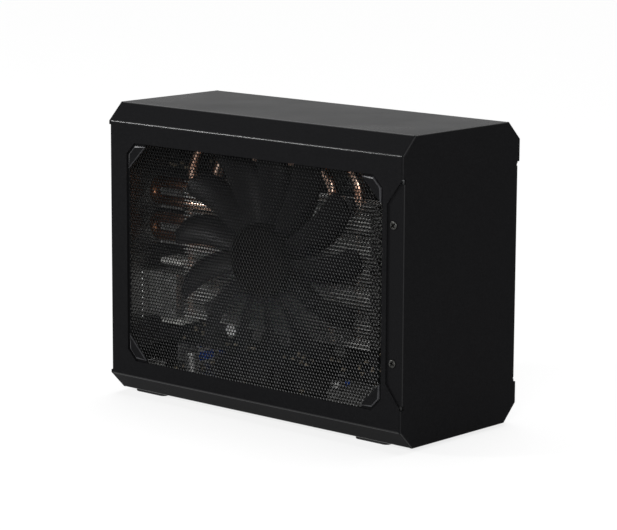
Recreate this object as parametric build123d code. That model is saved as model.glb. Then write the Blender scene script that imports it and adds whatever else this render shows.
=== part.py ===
from build123d import *
from math import atan2, ceil, cos, degrees, radians, sin, sqrt
import os

# External graphics card enclosure: a folded black steel cover with a meshed window in each side,
# a graphics card with one large fan behind the left mesh, and a power supply behind the right one.
# Millimetres. Z is up, the front panel faces -Y, the card's fan looks out at -X.

# Overall sizes
BODY_LENGTH = 212.0
BODY_WIDTH = 96.0
BODY_HEIGHT = 162.0
CORNER_CUT = 9.7

# Rubber feet
FOOT_HEIGHT = 2.0
FOOT_LENGTH = 23.0
FOOT_WIDTH = 12.0
FOOT_INSET = 12.0
FOOT_CORNER = 3.0
FOOT_ROUND = 0.5
FRONT_FOOT_SETBACK = 30.5
REAR_FOOT_SETBACK = 18.0

# Sheet metal
COVER_T = 1.0
PANEL_T = 1.3
TRAY_T = 1.0
SEAM = 0.1
FOLD_RADIUS = 1.4
EDGE_ROUND = 0.4

# Window in each side of the cover, and the mesh panel behind it
WINDOW_END = 13.6
WINDOW_TOP = 20.7
WINDOW_RISE = 18.9
WINDOW_CUT = 6.2
MESH_T = 0.8
MESH_OVERLAP = 2.0
LAND_GAP = 1.3
LAND_CUT = 5.3
LAND_SINK = 0.1
FIELD_CUT = 13.2
HOLE_PITCH = 15.0
HOLE_SIZE = 12.0

# Notch at the cover's front edge, and the flanges folded from the end panels
NOTCH_DEPTH = 9.2
NOTCH_MID_RISE = 80.8
NOTCH_OPEN = 117.0
NOTCH_DEEP = 93.2
FRONT_FLANGE_LENGTH = 114.3
REAR_FLANGE_LENGTH = 134.0
FLANGE_LAP = 0.6
FLANGE_CUT = 5.0
FOLD_RELIEF = 2.4

# Screws
SCREW_SHANK_R = 1.25
SCREW_HEAD_R = 2.2
SCREW_HEAD_H = 0.9
SCREW_ROUND = 0.45
SCREW_PLAY = 0.05
SCREW_REACH = 3.2
FLANGE_SCREW_SPACING = 71.4
FLANGE_SCREW_SETBACK = 6.8

# Chassis tray
FRAME_BORDER = 9.0
TRAY_LIP = 5.5

# Main board
STANDOFF_H = 5.0
STANDOFF_R = 3.0
BOARD_T = 1.6
MAIN_BOARD_SIDE_GAP = 8.0
MAIN_BOARD_FRONT_GAP = 12.0
MAIN_BOARD_REAR_GAP = 2.0
STANDOFF_INSET = 6.0
SLOT_LENGTH = 89.0
SLOT_WIDTH = 7.5
SLOT_HEIGHT = 11.2
SLOT_MOUTH = 2.0
SLOT_SETBACK = 42.0
LATCH_LENGTH = 4.0
LATCH_WIDTH = 5.0
LATCH_RISE = 2.5
CAPACITOR_R = 4.0
CAPACITOR_H = 12.0
CAPACITOR_ROUND = 0.7
CARD_SIDE_ROW = (12.8, -44.5, -96.0)
SUPPLY_SIDE_ROW = (-9.0, -26.5, -44.0)
CHOKES = 4
CHOKE_SIZE = 10.0
CHOKE_PITCH = 15.0
CHOKE_EDGE = 8.5
CHOKE_H = 7.0
CHOKE_CUT = 1.25
CONTROLLER_SINK = 26.0
CONTROLLER_GAP = 1.7
CONTROLLER_SINK_H = 10.0
CONTROLLER_SINK_BASE = 3.3
SINK_FINS = 7

# Graphics board
CARD_LENGTH = 168.0
CARD_HEIGHT = 111.0
CARD_SLOT_GAP = 1.5
TONGUE_DEPTH = 8.0
TONGUE_LENGTH = 84.0
TONGUE_PLAY = 0.2
PACKAGE_SIZE = 40.0
PACKAGE_T = 2.4
MEMORY_LENGTH = 14.0
MEMORY_WIDTH = 12.0
MEMORY_T = 1.2
MEMORY_PITCH = 16.8
CARD_CAPACITORS = 5
CARD_CAPACITOR_RISE = 16.0
CARD_CAPACITOR_ROW = (32.0, -48.0)
COLD_PLATE_SIZE = 52.0
COLD_PLATE_T = 4.0
PROCESSOR_SETBACK = 92.0
POWER_SOCKET = (7.6, 18.0, 10.0)
POWER_WAYS = (2, 4)
POWER_MOUTH = 2.6

# Finned heatsink and its heat pipes
FIN_DEPTH = 14.0
FIN_T = 0.4
FIN_PITCH = 2.1
FIN_STACK_HEIGHT = 77.0
FIN_RISE = 43.5
FIN_FRONT_REACH = 63.5
FIN_REAR_REACH = 72.5
SPINE_T = 1.5
PIPE_R = 3.0
PIPE_PLAY = 0.2
PIPE_SPREADS = (123.0, 85.0)
PIPE_BENDS = (24.0, 16.0)
HAIRPIN_REACH = 27.0
HAIRPIN_PITCH = 10.0
HAIRPIN_SPACING = 20.0
HAIRPIN_DROP = 4.0
HAIRPIN_HOLD = 20.0

# Large fan
FAN_RADIUS = 67.0
FAN_BLADES = 13
FAN_PHASE = 20.0
FAN_CLEAR = 3.2
FAN_SETBACK = 106.2
FAN_RISE = 85.5
HUB_RADIUS = 20.0
HUB_DEPTH = 14.0
HUB_WALL = 2.0
HUB_GAP = 1.0
HUB_ROUND = 1.2
BLADE_ROOT = 1.5
SHAFT_R = 1.5
SHAFT_PLAY = 0.05
STATOR_R = 15.0
STATOR_H = 10.0
BRACKET_T = 2.0
BRACKET_FOOT = 1.0
BRACKET_ARM = 6.0
BRACKET_FOOT_R = 3.6
BRACKET_SPREAD = (50.0, 34.0)

# Blade sections from hub to tip: chord, pitch, sweep, half thickness, camber
FAN_SECTIONS = ((12.5, 42.0, 0.0, 0.9, 0.8), (17.5, 30.0, -5.0, 0.75, 1.4), (16.0, 23.0, -14.0, 0.6, 1.0))
SMALL_FAN_SECTIONS = ((7.0, 45.0, 0.0, 0.5, 0.3), (11.0, 32.0, 12.0, 0.4, 0.8))

# Card bracket and its sockets
BRACKET_PLATE_T = 0.9
BRACKET_WIDTH = 40.0
BRACKET_HEIGHT = 118.0
BRACKET_SOLDER_SIDE = 5.0
VENT_COUNT = 8
VENT_PITCH = 3.6
VENT_SIZE = 1.4
VENT_SIDE = 11.9
CARD_OPENING_EDGE = 4.8
CARD_OPENING_TOP = 9.6
SOCKET_PROUD = 0.6
SOCKET_PLAY = 0.3
WIDE_SOCKET = (16.0, 21.0, 37.0)
WIDE_SHELL = (9.0, 24.0)
WIDE_SOCKET_RISE = 14.1
WIDE_BLOCK_H = 25.6
WIDE_END_H = 3.2
WIDE_END_STEP = 2.0
WIDE_END_SETBACK = 7.0
SLIM_SOCKET = (6.2, 17.0, 15.4)
SLIM_SOCKET_RISES = (58.0, 78.0)
SLIM_TONGUE_T = 1.4
SHELL_WALL = 0.8
MOUTH_DEPTH = 7.0

# Rear sockets of the main board
USB_STACK = (14.5, 17.5, 15.6)
USB_MOUTH = (12.6, 5.2)
USB_TONGUE = (11.2, 1.8)
USB_BODY_DEPTH = 3.0
USB_STACKS = 2
USB_LEVELS = 2
USB_STACK_SPACING = 16.5
LINK_PORT = (9.4, 9.0, 3.6)
LINK_PORT_SIDE = 18.0

# Power supply
SUPPLY_CARD_GAP = 0.7
SUPPLY_LENGTH = 150.0
SUPPLY_CLEAR = 1.5
SUPPLY_CORNER_GAP = 0.8
SUPPLY_WALL = 1.0
SUPPLY_VENTS = 6
SUPPLY_VENT_INSET = 6.25
SUPPLY_VENT_HEIGHT = 5.8
SUPPLY_SCREW_INSET = 3.3
CORE_SIDE_GAP = 2.5
CORE_FRONT_GAP = 12.0
CORE_REAR_GAP = 32.0
CORE_TOP_GAP = 17.5
INLET_WIDTH = 27.0
INLET_HEIGHT = 20.0
INLET_DEPTH = 22.0
INLET_WALL = 1.5
INLET_RECESS = 15.0
INLET_DROP = 17.0
INLET_FAN_GAP = 12.0
INLET_CUT = 5.0
PIN_SIZE = (2.0, 4.0)
PIN_SPREAD = 7.0
PIN_OFFSET = 2.0
SMALL_FAN_SIDE = 0.25
SMALL_FAN_DEPTH = 15.0
SMALL_FAN_RIM = 1.0
SMALL_FAN_BASE = 2.5
SMALL_FAN_BLADES = 7
SMALL_FAN_CLEAR = 0.8
SMALL_HUB_RADIUS = 9.0
SMALL_HUB_WALL = 1.5
SMALL_POST_R = 4.0
SMALL_FAN_STRUTS = 3
SMALL_BLADE_ROOT = 1.1
GUARD_T = 1.0
GUARD_RINGS = 4
GUARD_WIRE = 1.6

# Places worked out from the sizes above
HALF_W = BODY_WIDTH / 2
HALF_L = BODY_LENGTH / 2
BASE_Z = FOOT_HEIGHT
TOP_Z = BASE_Z + BODY_HEIGHT
INNER_X = HALF_W - COVER_T
FRONT_IN = -HALF_L + PANEL_T
REAR_IN = HALF_L - PANEL_T
COVER_FRONT = FRONT_IN + SEAM
COVER_REAR = REAR_IN - SEAM
WINDOW_LENGTH = BODY_LENGTH - 2 * WINDOW_END
WINDOW_HEIGHT = BODY_HEIGHT - WINDOW_RISE - WINDOW_TOP
WINDOW_MID_Z = BASE_Z + WINDOW_RISE + WINDOW_HEIGHT / 2
NOTCH_MID_Z = BASE_Z + NOTCH_MID_RISE
FLANGE_X = INNER_X - SEAM
EAR_X = FLANGE_X - PANEL_T
FLANGE_SCREW_Y = -HALF_L + FLANGE_SCREW_SETBACK
TRAY_BOTTOM = BASE_Z + COVER_T + SEAM
TRAY_TOP = TRAY_BOTTOM + TRAY_T
MAIN_BOARD_WIDTH = BODY_WIDTH - 2 * MAIN_BOARD_SIDE_GAP
MAIN_BOARD_Z = TRAY_TOP + STANDOFF_H
MAIN_BOARD_TOP = MAIN_BOARD_Z + BOARD_T
MAIN_BOARD_FRONT = FRONT_IN + MAIN_BOARD_FRONT_GAP
MAIN_BOARD_REAR = REAR_IN - MAIN_BOARD_REAR_GAP
SLOT_TOP = MAIN_BOARD_TOP + SLOT_HEIGHT

# Layers from the left mesh inwards: fan, its bracket, fins, cold plate, processor, board
FAN_FRONT_X = -INNER_X + MESH_T + FAN_CLEAR
BRACKET_X = FAN_FRONT_X + HUB_DEPTH + HUB_GAP
FIN_FRONT_X = BRACKET_X + BRACKET_T + BRACKET_FOOT
FIN_BACK_X = FIN_FRONT_X + FIN_DEPTH
SPINE_BACK_X = FIN_BACK_X + SPINE_T
CARD_FRONT_X = SPINE_BACK_X + COLD_PLATE_T + PACKAGE_T
CARD_BACK_X = CARD_FRONT_X + BOARD_T
CARD_MID_X = (CARD_FRONT_X + CARD_BACK_X) / 2
PIPE_X = FIN_BACK_X - PIPE_R - PIPE_PLAY
HAIRPIN_X = PIPE_X - 2 * PIPE_R - 2 * PIPE_PLAY

FAN_Y = REAR_IN - FAN_SETBACK
FAN_Z = BASE_Z + FAN_RISE
FIN_FRONT_Y = FAN_Y - FIN_FRONT_REACH
FIN_REAR_Y = FAN_Y + FIN_REAR_REACH
FIN_LOW_Z = BASE_Z + FIN_RISE
FIN_HIGH_Z = FIN_LOW_Z + FIN_STACK_HEIGHT
PROCESSOR_Y = REAR_IN - PROCESSOR_SETBACK
PROCESSOR_Z = (FIN_LOW_Z + FIN_HIGH_Z) / 2
PIPE_MID_Y = FIN_REAR_Y + PIPE_R + PIPE_PLAY - PIPE_SPREADS[0] / 2
HAIRPIN_Z = FIN_HIGH_Z - HAIRPIN_DROP

CARD_BRACKET_Y = REAR_IN - BRACKET_PLATE_T
CARD_REAR_Y = CARD_BRACKET_Y - SOCKET_PLAY
CARD_FRONT_Y = CARD_REAR_Y - CARD_LENGTH
CARD_LOW_Z = SLOT_TOP + CARD_SLOT_GAP
CARD_HIGH_Z = CARD_LOW_Z + CARD_HEIGHT
BRACKET_RIGHT_X = CARD_BACK_X + BRACKET_SOLDER_SIDE
BRACKET_LEFT_X = BRACKET_RIGHT_X - BRACKET_WIDTH
BRACKET_LOW_Z = CARD_LOW_Z
BRACKET_HIGH_Z = BRACKET_LOW_Z + BRACKET_HEIGHT
SLOT_REAR_Y = REAR_IN - SLOT_SETBACK
SLOT_FRONT_Y = SLOT_REAR_Y - SLOT_LENGTH
SLOT_MID_Y = (SLOT_REAR_Y + SLOT_FRONT_Y) / 2

SUPPLY_RIGHT_X = INNER_X - MESH_T - SUPPLY_CLEAR
SUPPLY_LEFT_X = BRACKET_RIGHT_X + SUPPLY_CARD_GAP
SUPPLY_WIDTH = SUPPLY_RIGHT_X - SUPPLY_LEFT_X
SUPPLY_MID_X = (SUPPLY_RIGHT_X + SUPPLY_LEFT_X) / 2
SUPPLY_DROP = SUPPLY_RIGHT_X - (HALF_W - CORNER_CUT - sqrt(2) * COVER_T) + SUPPLY_CORNER_GAP
SUPPLY_HIGH_Z = TOP_Z - SUPPLY_DROP
SUPPLY_FRONT_Y = REAR_IN - SUPPLY_LENGTH
INLET_Z = SUPPLY_HIGH_Z - INLET_DROP
SMALL_FAN = SUPPLY_WIDTH - 2 * SMALL_FAN_SIDE
SMALL_FAN_BORE = SMALL_FAN - 2 * SMALL_FAN_RIM
SMALL_FAN_Z = INLET_Z - INLET_HEIGHT / 2 - INLET_FAN_GAP - SMALL_FAN / 2
SUPPLY_LOW_Z = SMALL_FAN_Z - SMALL_FAN / 2 - SMALL_FAN_BASE
SUPPLY_HEIGHT = SUPPLY_HIGH_Z - SUPPLY_LOW_Z
USB_FIRST_X = SUPPLY_LEFT_X + USB_STACK[0] / 2 + SEAM


# Basic forms
def block(x_pair, y_pair, z_pair):
    """Box between pairs of coordinates, given in either order."""
    pairs = (x_pair, y_pair, z_pair)
    middle = [(low + high) / 2 for low, high in pairs]
    size = [abs(high - low) for low, high in pairs]
    return Pos(*middle) * Box(*size)


def around(middle, size):
    """Pair of coordinates that lies evenly about a middle."""
    return (middle - size / 2, middle + size / 2)


def sheet_x(sketch, x_pair):
    """Flat piece whose outline is drawn in Y and Z."""
    low, high = sorted(x_pair)
    plane = Plane(origin=(low, 0, 0), x_dir=(0, 1, 0), z_dir=(1, 0, 0))
    return extrude(plane * sketch, amount=high - low, dir=(1, 0, 0))


def sheet_y(sketch, y_pair):
    """Flat piece whose outline is drawn in X and Z."""
    low, high = sorted(y_pair)
    plane = Plane(origin=(0, high, 0), x_dir=(1, 0, 0), z_dir=(0, -1, 0))
    return extrude(plane * sketch, amount=high - low, dir=(0, -1, 0))


def rod_x(radius, x_pair, y, z):
    low, high = sorted(x_pair)
    return sheet_x(Pos(y, z) * Circle(radius), (low, high))


def rod_y(radius, y_pair, x, z):
    low, high = sorted(y_pair)
    return sheet_y(Pos(x, z) * Circle(radius), (low, high))


def rod_z(radius, z_pair, x, y):
    low, high = sorted(z_pair)
    return Pos(x, y, low) * Cylinder(radius, high - low, align=(Align.CENTER, Align.CENTER, Align.MIN))


def outline(points):
    return Polygon(*points, align=None)


def cut_rectangle(u_pair, v_pair, cut):
    """Rectangle with its four corners cut off at 45 degrees."""
    (left, right), (low, high) = u_pair, v_pair
    return outline([
        (left + cut, low), (right - cut, low), (right, low + cut), (right, high - cut),
        (right - cut, high), (left + cut, high), (left, high - cut), (left, low + cut),
    ])


def body_section(inset):
    """The enclosure's eight-sided section, drawn in by a wall's thickness."""
    cut = CORNER_CUT - inset * (2 - sqrt(2))
    half = HALF_W - inset
    return cut_rectangle((-half, half), (BASE_Z + inset, TOP_Z - inset), cut)


def window_outline(inset, cut):
    """The side window, drawn in by a margin."""
    return cut_rectangle(
        around(0, WINDOW_LENGTH - 2 * inset), around(WINDOW_MID_Z, WINDOW_HEIGHT - 2 * inset), cut)


# Cover and panels
def make_cover():
    """Sleeve folded from one sheet, with a window and a front notch in each side."""
    outer = sheet_y(body_section(0), (COVER_FRONT, COVER_REAR))
    outer = fillet(outer.edges().filter_by(Axis.Y), FOLD_RADIUS)
    inner = sheet_y(body_section(COVER_T), (COVER_FRONT, COVER_REAR))
    inner = fillet(inner.edges().filter_by(Axis.Y), FOLD_RADIUS - COVER_T)
    cover = outer - inner
    deep = COVER_FRONT + NOTCH_DEPTH
    open_half, deep_half = NOTCH_OPEN / 2, NOTCH_DEEP / 2
    notch = outline([
        (FRONT_IN, NOTCH_MID_Z - open_half), (COVER_FRONT, NOTCH_MID_Z - open_half),
        (deep, NOTCH_MID_Z - deep_half), (deep, NOTCH_MID_Z + deep_half),
        (COVER_FRONT, NOTCH_MID_Z + open_half), (FRONT_IN, NOTCH_MID_Z + open_half),
    ])
    for side in (-1, 1):
        wall = (side * (INNER_X - COVER_T), side * (HALF_W + COVER_T))
        cover -= sheet_x(window_outline(0, WINDOW_CUT), wall)
        cover -= sheet_x(notch, wall)
    return cover


def hole_places():
    """Centres of the staggered holes that lie inside the meshed field."""
    half_length = WINDOW_LENGTH / 2 - LAND_GAP - HOLE_SIZE / 2
    half_height = WINDOW_HEIGHT / 2 - LAND_GAP - HOLE_SIZE / 2
    row_step = HOLE_PITCH * sqrt(3) / 2
    rows = int(half_height / row_step)
    columns = ceil(half_length / HOLE_PITCH)
    corner = half_length + half_height - FIELD_CUT
    places = []
    for row in range(-rows, rows + 1):
        for column in range(-columns, columns + 1):
            y = (column + (row % 2) / 2) * HOLE_PITCH
            z = row * row_step
            if abs(y) <= half_length and abs(y) + abs(z) <= corner:
                places.append((y, WINDOW_MID_Z + z))
    return places


def corner_land(y_side, z_side, shrink):
    """One plain land that fills a corner of the window, between its cut and the meshed field."""
    y = WINDOW_LENGTH / 2 - LAND_GAP - shrink
    z = WINDOW_HEIGHT / 2 - LAND_GAP - shrink
    small = LAND_CUT - shrink * (2 - sqrt(2))
    large = FIELD_CUT - shrink * (2 + sqrt(2))
    corners = [(y - large, z), (y - small, z), (y, z - small), (y, z - large)]
    return outline([(y_side * u, WINDOW_MID_Z + z_side * v) for u, v in corners])


def make_mesh_panel(side):
    """Perforated sheet behind a window, with a land pressed out at each corner."""
    sheet = window_outline(-MESH_OVERLAP, WINDOW_CUT)
    holes = [Pos(y, z) * RegularPolygon(HOLE_SIZE / 2, 6, rotation=30) for y, z in hole_places()]
    panel = sheet_x(sheet - holes, (side * (INNER_X - MESH_T), side * INNER_X))
    for y_side in (-1, 1):
        for z_side in (-1, 1):
            top = HALF_W - LAND_SINK
            panel += sheet_x(corner_land(y_side, z_side, 0), (side * INNER_X, side * top))
            hollow = (side * (INNER_X - MESH_T), side * (top - MESH_T))
            panel -= sheet_x(corner_land(y_side, z_side, MESH_T), hollow)
    return panel


def make_end_panel(end, flange_length, flange_reach):
    """Octagonal end panel with a flange folded back along each side."""
    face, back = end * HALF_L, end * (HALF_L - PANEL_T)
    panel = sheet_y(body_section(0), (back, face))
    rim = panel.faces().sort_by(Axis.Y)[0 if end < 0 else -1].edges()
    panel = fillet(rim, EDGE_ROUND)
    flange_z = around(NOTCH_MID_Z, flange_length)
    relief_z = around(NOTCH_MID_Z, flange_length + 2 * FOLD_RELIEF)
    tip = end * (HALF_L - flange_reach)
    shape = outline([
        (face, flange_z[0]), (tip + end * FLANGE_CUT, flange_z[0]), (tip, flange_z[0] + FLANGE_CUT),
        (tip, flange_z[1] - FLANGE_CUT), (tip + end * FLANGE_CUT, flange_z[1]), (face, flange_z[1]),
    ])
    for side in (-1, 1):
        panel -= block((side * FLANGE_X, side * (HALF_W + COVER_T)), (back, face), relief_z)
        for low, high in ((relief_z[0], flange_z[0]), (flange_z[1], relief_z[1])):
            panel -= block((side * EAR_X, side * HALF_W), (back, face), (low, high))
        flange = sheet_x(shape, (side * EAR_X, side * FLANGE_X))
        fold = flange.edges().filter_by(Axis.Z).sort_by_distance((side * HALF_W, face, NOTCH_MID_Z))[0]
        flange = fillet(fold, PANEL_T - SEAM)
        panel -= block((side * EAR_X, side * FLANGE_X), (back, face), flange_z)
        panel += flange
    return panel


def flange_screw_places():
    return [NOTCH_MID_Z - FLANGE_SCREW_SPACING / 2, NOTCH_MID_Z + FLANGE_SCREW_SPACING / 2]


def make_front_panel():
    panel = make_end_panel(-1, FRONT_FLANGE_LENGTH, PANEL_T + SEAM + NOTCH_DEPTH + FLANGE_LAP)
    for z in flange_screw_places():
        panel -= rod_x(SCREW_SHANK_R + SCREW_PLAY, (-HALF_W, HALF_W), FLANGE_SCREW_Y, z)
    return panel


def make_screw(head_plane):
    """Domed screw whose head rests on a plane's origin and points along its normal."""
    shank = Cylinder(SCREW_SHANK_R, SCREW_REACH, align=(Align.CENTER, Align.CENTER, Align.MAX))
    head = Cylinder(SCREW_HEAD_R, SCREW_HEAD_H, align=(Align.CENTER, Align.CENTER, Align.MIN))
    head = fillet(head.edges().sort_by(Axis.Z)[-1], SCREW_ROUND)
    return head_plane * (shank + head)


def make_front_screws():
    screws = []
    for side in (-1, 1):
        for z in flange_screw_places():
            screws.append(make_screw(Plane((side * FLANGE_X, FLANGE_SCREW_Y, z), z_dir=(side, 0, 0))))
    return screws


# Chassis tray and feet
def rear_screw_places():
    return [-MAIN_BOARD_WIDTH / 2 + STANDOFF_INSET, MAIN_BOARD_WIDTH / 2 - STANDOFF_INSET]


def rear_screw_z():
    return TRAY_TOP + (TRAY_LIP + TRAY_T) / 2


def make_tray():
    """Floor that follows the cover's folds, with a front frame and a low rear lip."""
    inset = COVER_T + SEAM
    tray = sheet_y(body_section(inset) - body_section(inset + TRAY_T), (COVER_FRONT, REAR_IN))
    tray -= block((-HALF_W, HALF_W), (FRONT_IN, HALF_L), (BASE_Z + CORNER_CUT, TOP_Z))
    frame_z = (TRAY_BOTTOM, NOTCH_MID_Z + NOTCH_OPEN / 2)
    frame_y = (COVER_FRONT, COVER_FRONT + TRAY_T)
    frame = sheet_y(body_section(inset), frame_y) & block((-EAR_X, EAR_X), frame_y, frame_z)
    hole_z = (BASE_Z + CORNER_CUT + FRAME_BORDER, frame_z[1] - FRAME_BORDER)
    frame -= block((-EAR_X + FRAME_BORDER, EAR_X - FRAME_BORDER), frame_y, hole_z)
    tray += frame
    ear_y = (COVER_FRONT, COVER_FRONT + NOTCH_DEPTH)
    for side in (-1, 1):
        ear = block((side * (EAR_X - TRAY_T), side * EAR_X), ear_y, around(NOTCH_MID_Z, NOTCH_OPEN))
        for z in flange_screw_places():
            ear -= rod_x(SCREW_SHANK_R + SCREW_PLAY, (side * INNER_X, 0), FLANGE_SCREW_Y, z)
        tray += ear
    lip = sheet_y(body_section(inset), (REAR_IN - TRAY_T, REAR_IN))
    tray += lip & block((-HALF_W, HALF_W), (REAR_IN - TRAY_T, REAR_IN), (TRAY_BOTTOM, TRAY_TOP + TRAY_LIP))
    for x in rear_screw_places():
        tray -= rod_y(SCREW_SHANK_R + SCREW_PLAY, (REAR_IN - TRAY_T, REAR_IN), x, rear_screw_z())
    for x, y in standoff_places():
        tray -= rod_z(SCREW_SHANK_R + SCREW_PLAY, (TRAY_BOTTOM, TRAY_TOP), x, y)
    return tray


def make_foot(x_side, y):
    """Stuck-on rubber pad with rounded ends and a softened lower rim."""
    pad = Rectangle(FOOT_WIDTH, FOOT_LENGTH)
    pad = fillet(pad.vertices(), FOOT_CORNER)
    foot = extrude(Pos(x_side * (HALF_W - FOOT_INSET - FOOT_WIDTH / 2), y) * pad, amount=FOOT_HEIGHT)
    return fillet(foot.faces().sort_by(Axis.Z)[0].edges(), FOOT_ROUND)


# Main board and what stands on it
def standoff_places():
    half = MAIN_BOARD_WIDTH / 2 - STANDOFF_INSET
    front = MAIN_BOARD_FRONT + STANDOFF_INSET
    rear = MAIN_BOARD_REAR - USB_STACK[1] - STANDOFF_INSET
    return [(x, y) for x in (-half, half) for y in (front, (front + rear) / 2, rear)]


def make_main_board():
    thickness = (MAIN_BOARD_Z, MAIN_BOARD_TOP)
    board = block(around(0, MAIN_BOARD_WIDTH), (MAIN_BOARD_FRONT, MAIN_BOARD_REAR), thickness)
    for x, y in standoff_places():
        board -= rod_z(SCREW_SHANK_R + SCREW_PLAY, thickness, x, y)
    return board


def make_standoffs():
    posts = []
    for x, y in standoff_places():
        post = rod_z(STANDOFF_R, (TRAY_TOP, MAIN_BOARD_Z), x, y)
        posts.append(post - rod_z(SCREW_SHANK_R + SCREW_PLAY, (TRAY_TOP, MAIN_BOARD_Z), x, y))
    return posts


def make_board_screws():
    return [make_screw(Plane((x, y, MAIN_BOARD_TOP))) for x, y in standoff_places()]


def make_slot():
    """Long socket that takes the graphics board's edge."""
    slot = block(around(CARD_MID_X, SLOT_WIDTH), (SLOT_FRONT_Y, SLOT_REAR_Y), (MAIN_BOARD_TOP, SLOT_TOP))
    mouth_y = around(SLOT_MID_Y, TONGUE_LENGTH + 2 * TONGUE_PLAY)
    mouth_z = (CARD_LOW_Z - CARD_SLOT_GAP - TONGUE_DEPTH - TONGUE_PLAY, SLOT_TOP)
    slot -= block(around(CARD_MID_X, SLOT_MOUTH), mouth_y, mouth_z)
    return slot


def make_slot_latch():
    """Card latch at the slot's front end."""
    y = (SLOT_FRONT_Y - LATCH_LENGTH, SLOT_FRONT_Y)
    return block(around(CARD_MID_X, LATCH_WIDTH), y, (MAIN_BOARD_TOP, SLOT_TOP - LATCH_RISE))


def capacitor_places():
    """A row beside the slot on the fan's side and a short row under the power supply."""
    left = CARD_MID_X - SLOT_WIDTH / 2 - 2 * CAPACITOR_R
    row = [(left, SLOT_REAR_Y + place) for place in CARD_SIDE_ROW]
    return row + [(USB_FIRST_X, SLOT_REAR_Y + place) for place in SUPPLY_SIDE_ROW]


def make_board_capacitors():
    cans = []
    for x, y in capacitor_places():
        can = rod_z(CAPACITOR_R, (MAIN_BOARD_TOP, MAIN_BOARD_TOP + CAPACITOR_H), x, y)
        cans.append(fillet(can.edges().sort_by(Axis.Z)[-1], CAPACITOR_ROUND))
    return cans


def make_board_chokes():
    chokes = []
    x = around(MAIN_BOARD_WIDTH / 2 - CHOKE_EDGE, CHOKE_SIZE)
    z = (MAIN_BOARD_TOP, MAIN_BOARD_TOP + CHOKE_H)
    for count in range(CHOKES):
        choke = block(x, around(SLOT_REAR_Y - count * CHOKE_PITCH, CHOKE_SIZE), z)
        chokes.append(chamfer(choke.edges().filter_by(Axis.Z), CHOKE_CUT))
    return chokes


def make_controller_sink():
    """Small finned aluminium block on the link controller."""
    left = -MAIN_BOARD_WIDTH / 2 + STANDOFF_INSET + STANDOFF_R + CONTROLLER_GAP
    x = (left, left + CONTROLLER_SINK)
    y = around(SLOT_FRONT_Y - CONTROLLER_SINK, CONTROLLER_SINK)
    top = MAIN_BOARD_TOP + CONTROLLER_SINK_H
    sink = block(x, y, (MAIN_BOARD_TOP, top))
    pitch = CONTROLLER_SINK / (2 * SINK_FINS - 1)
    for count in range(SINK_FINS - 1):
        low = x[0] + (2 * count + 1) * pitch
        sink -= block((low, low + pitch), y, (MAIN_BOARD_TOP + CONTROLLER_SINK_BASE, top))
    return sink


# Graphics board
def make_graphics_board():
    """Upright board with an edge tongue that stands in the slot."""
    board = block((CARD_FRONT_X, CARD_BACK_X), (CARD_FRONT_Y, CARD_REAR_Y), (CARD_LOW_Z, CARD_HIGH_Z))
    tongue_z = (CARD_LOW_Z - CARD_SLOT_GAP - TONGUE_DEPTH, CARD_LOW_Z)
    board += block((CARD_FRONT_X, CARD_BACK_X), around(SLOT_MID_Y, TONGUE_LENGTH), tongue_z)
    return board


def make_processor():
    size_y, size_z = around(PROCESSOR_Y, PACKAGE_SIZE), around(PROCESSOR_Z, PACKAGE_SIZE)
    return block((CARD_FRONT_X - PACKAGE_T, CARD_FRONT_X), size_y, size_z)


def make_memory_chips():
    """Eight chips about the processor."""
    chips = []
    reach = (PACKAGE_SIZE + MEMORY_LENGTH) / 2 + COLD_PLATE_SIZE - PACKAGE_SIZE
    for y_side in (-1, 1):
        for step in (-1, 0, 1):
            y, z = PROCESSOR_Y + y_side * reach, PROCESSOR_Z + step * MEMORY_PITCH
            chips.append((y, z, MEMORY_WIDTH, MEMORY_LENGTH))
        y, z = PROCESSOR_Y + y_side * MEMORY_LENGTH, PROCESSOR_Z + reach
        chips.append((y, z, MEMORY_LENGTH, MEMORY_WIDTH))
    face = (CARD_FRONT_X - MEMORY_T, CARD_FRONT_X)
    return [block(face, around(y, wide), around(z, tall)) for y, z, wide, tall in chips]


def make_cold_plate():
    x = (SPINE_BACK_X, SPINE_BACK_X + COLD_PLATE_T)
    return block(x, around(PROCESSOR_Y, COLD_PLATE_SIZE), around(PROCESSOR_Z, COLD_PLATE_SIZE))


def card_capacitor_places():
    """Low row of cans along the board's foot, clear of the fins."""
    z = CARD_LOW_Z + CARD_CAPACITOR_RISE
    first, last = CARD_CAPACITOR_ROW
    pitch = (last - first) / (CARD_CAPACITORS - 1)
    return [(PROCESSOR_Y + first + count * pitch, z) for count in range(CARD_CAPACITORS)]


def make_card_capacitors():
    cans = []
    for y, z in card_capacitor_places():
        can = rod_x(CAPACITOR_R, (CARD_FRONT_X - CAPACITOR_H, CARD_FRONT_X), y, z)
        cans.append(fillet(can.edges().sort_by(Axis.X)[0], CAPACITOR_ROUND))
    return cans


def make_card_power_socket():
    """Eight-way power socket on the board's upper front corner, with its mouths up."""
    depth, length, rise = POWER_SOCKET
    rows, columns = POWER_WAYS
    y = (CARD_FRONT_Y, CARD_FRONT_Y + length)
    socket = block((CARD_FRONT_X - depth, CARD_FRONT_X), y, (CARD_HIGH_Z - rise, CARD_HIGH_Z))
    for row in range(rows):
        for column in range(columns):
            x = around(CARD_FRONT_X - depth * (row + 0.5) / rows, POWER_MOUTH)
            mouth_y = around(y[0] + length * (column + 0.5) / columns, POWER_MOUTH)
            socket -= block(x, mouth_y, (CARD_HIGH_Z - rise / 2, CARD_HIGH_Z))
    return socket


# Heatsink
def pipe_legs():
    """Y of each upright leg of the arched pipes that runs through the fins."""
    legs = [y for spread in PIPE_SPREADS for y in around(PIPE_MID_Y, spread)]
    return [y for y in legs if FIN_FRONT_Y < y < FIN_REAR_Y]


def hairpin_spans():
    """Lower and upper leg of each hairpin."""
    return [(high - HAIRPIN_PITCH, high) for high in (HAIRPIN_Z, HAIRPIN_Z - HAIRPIN_SPACING)]


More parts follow.
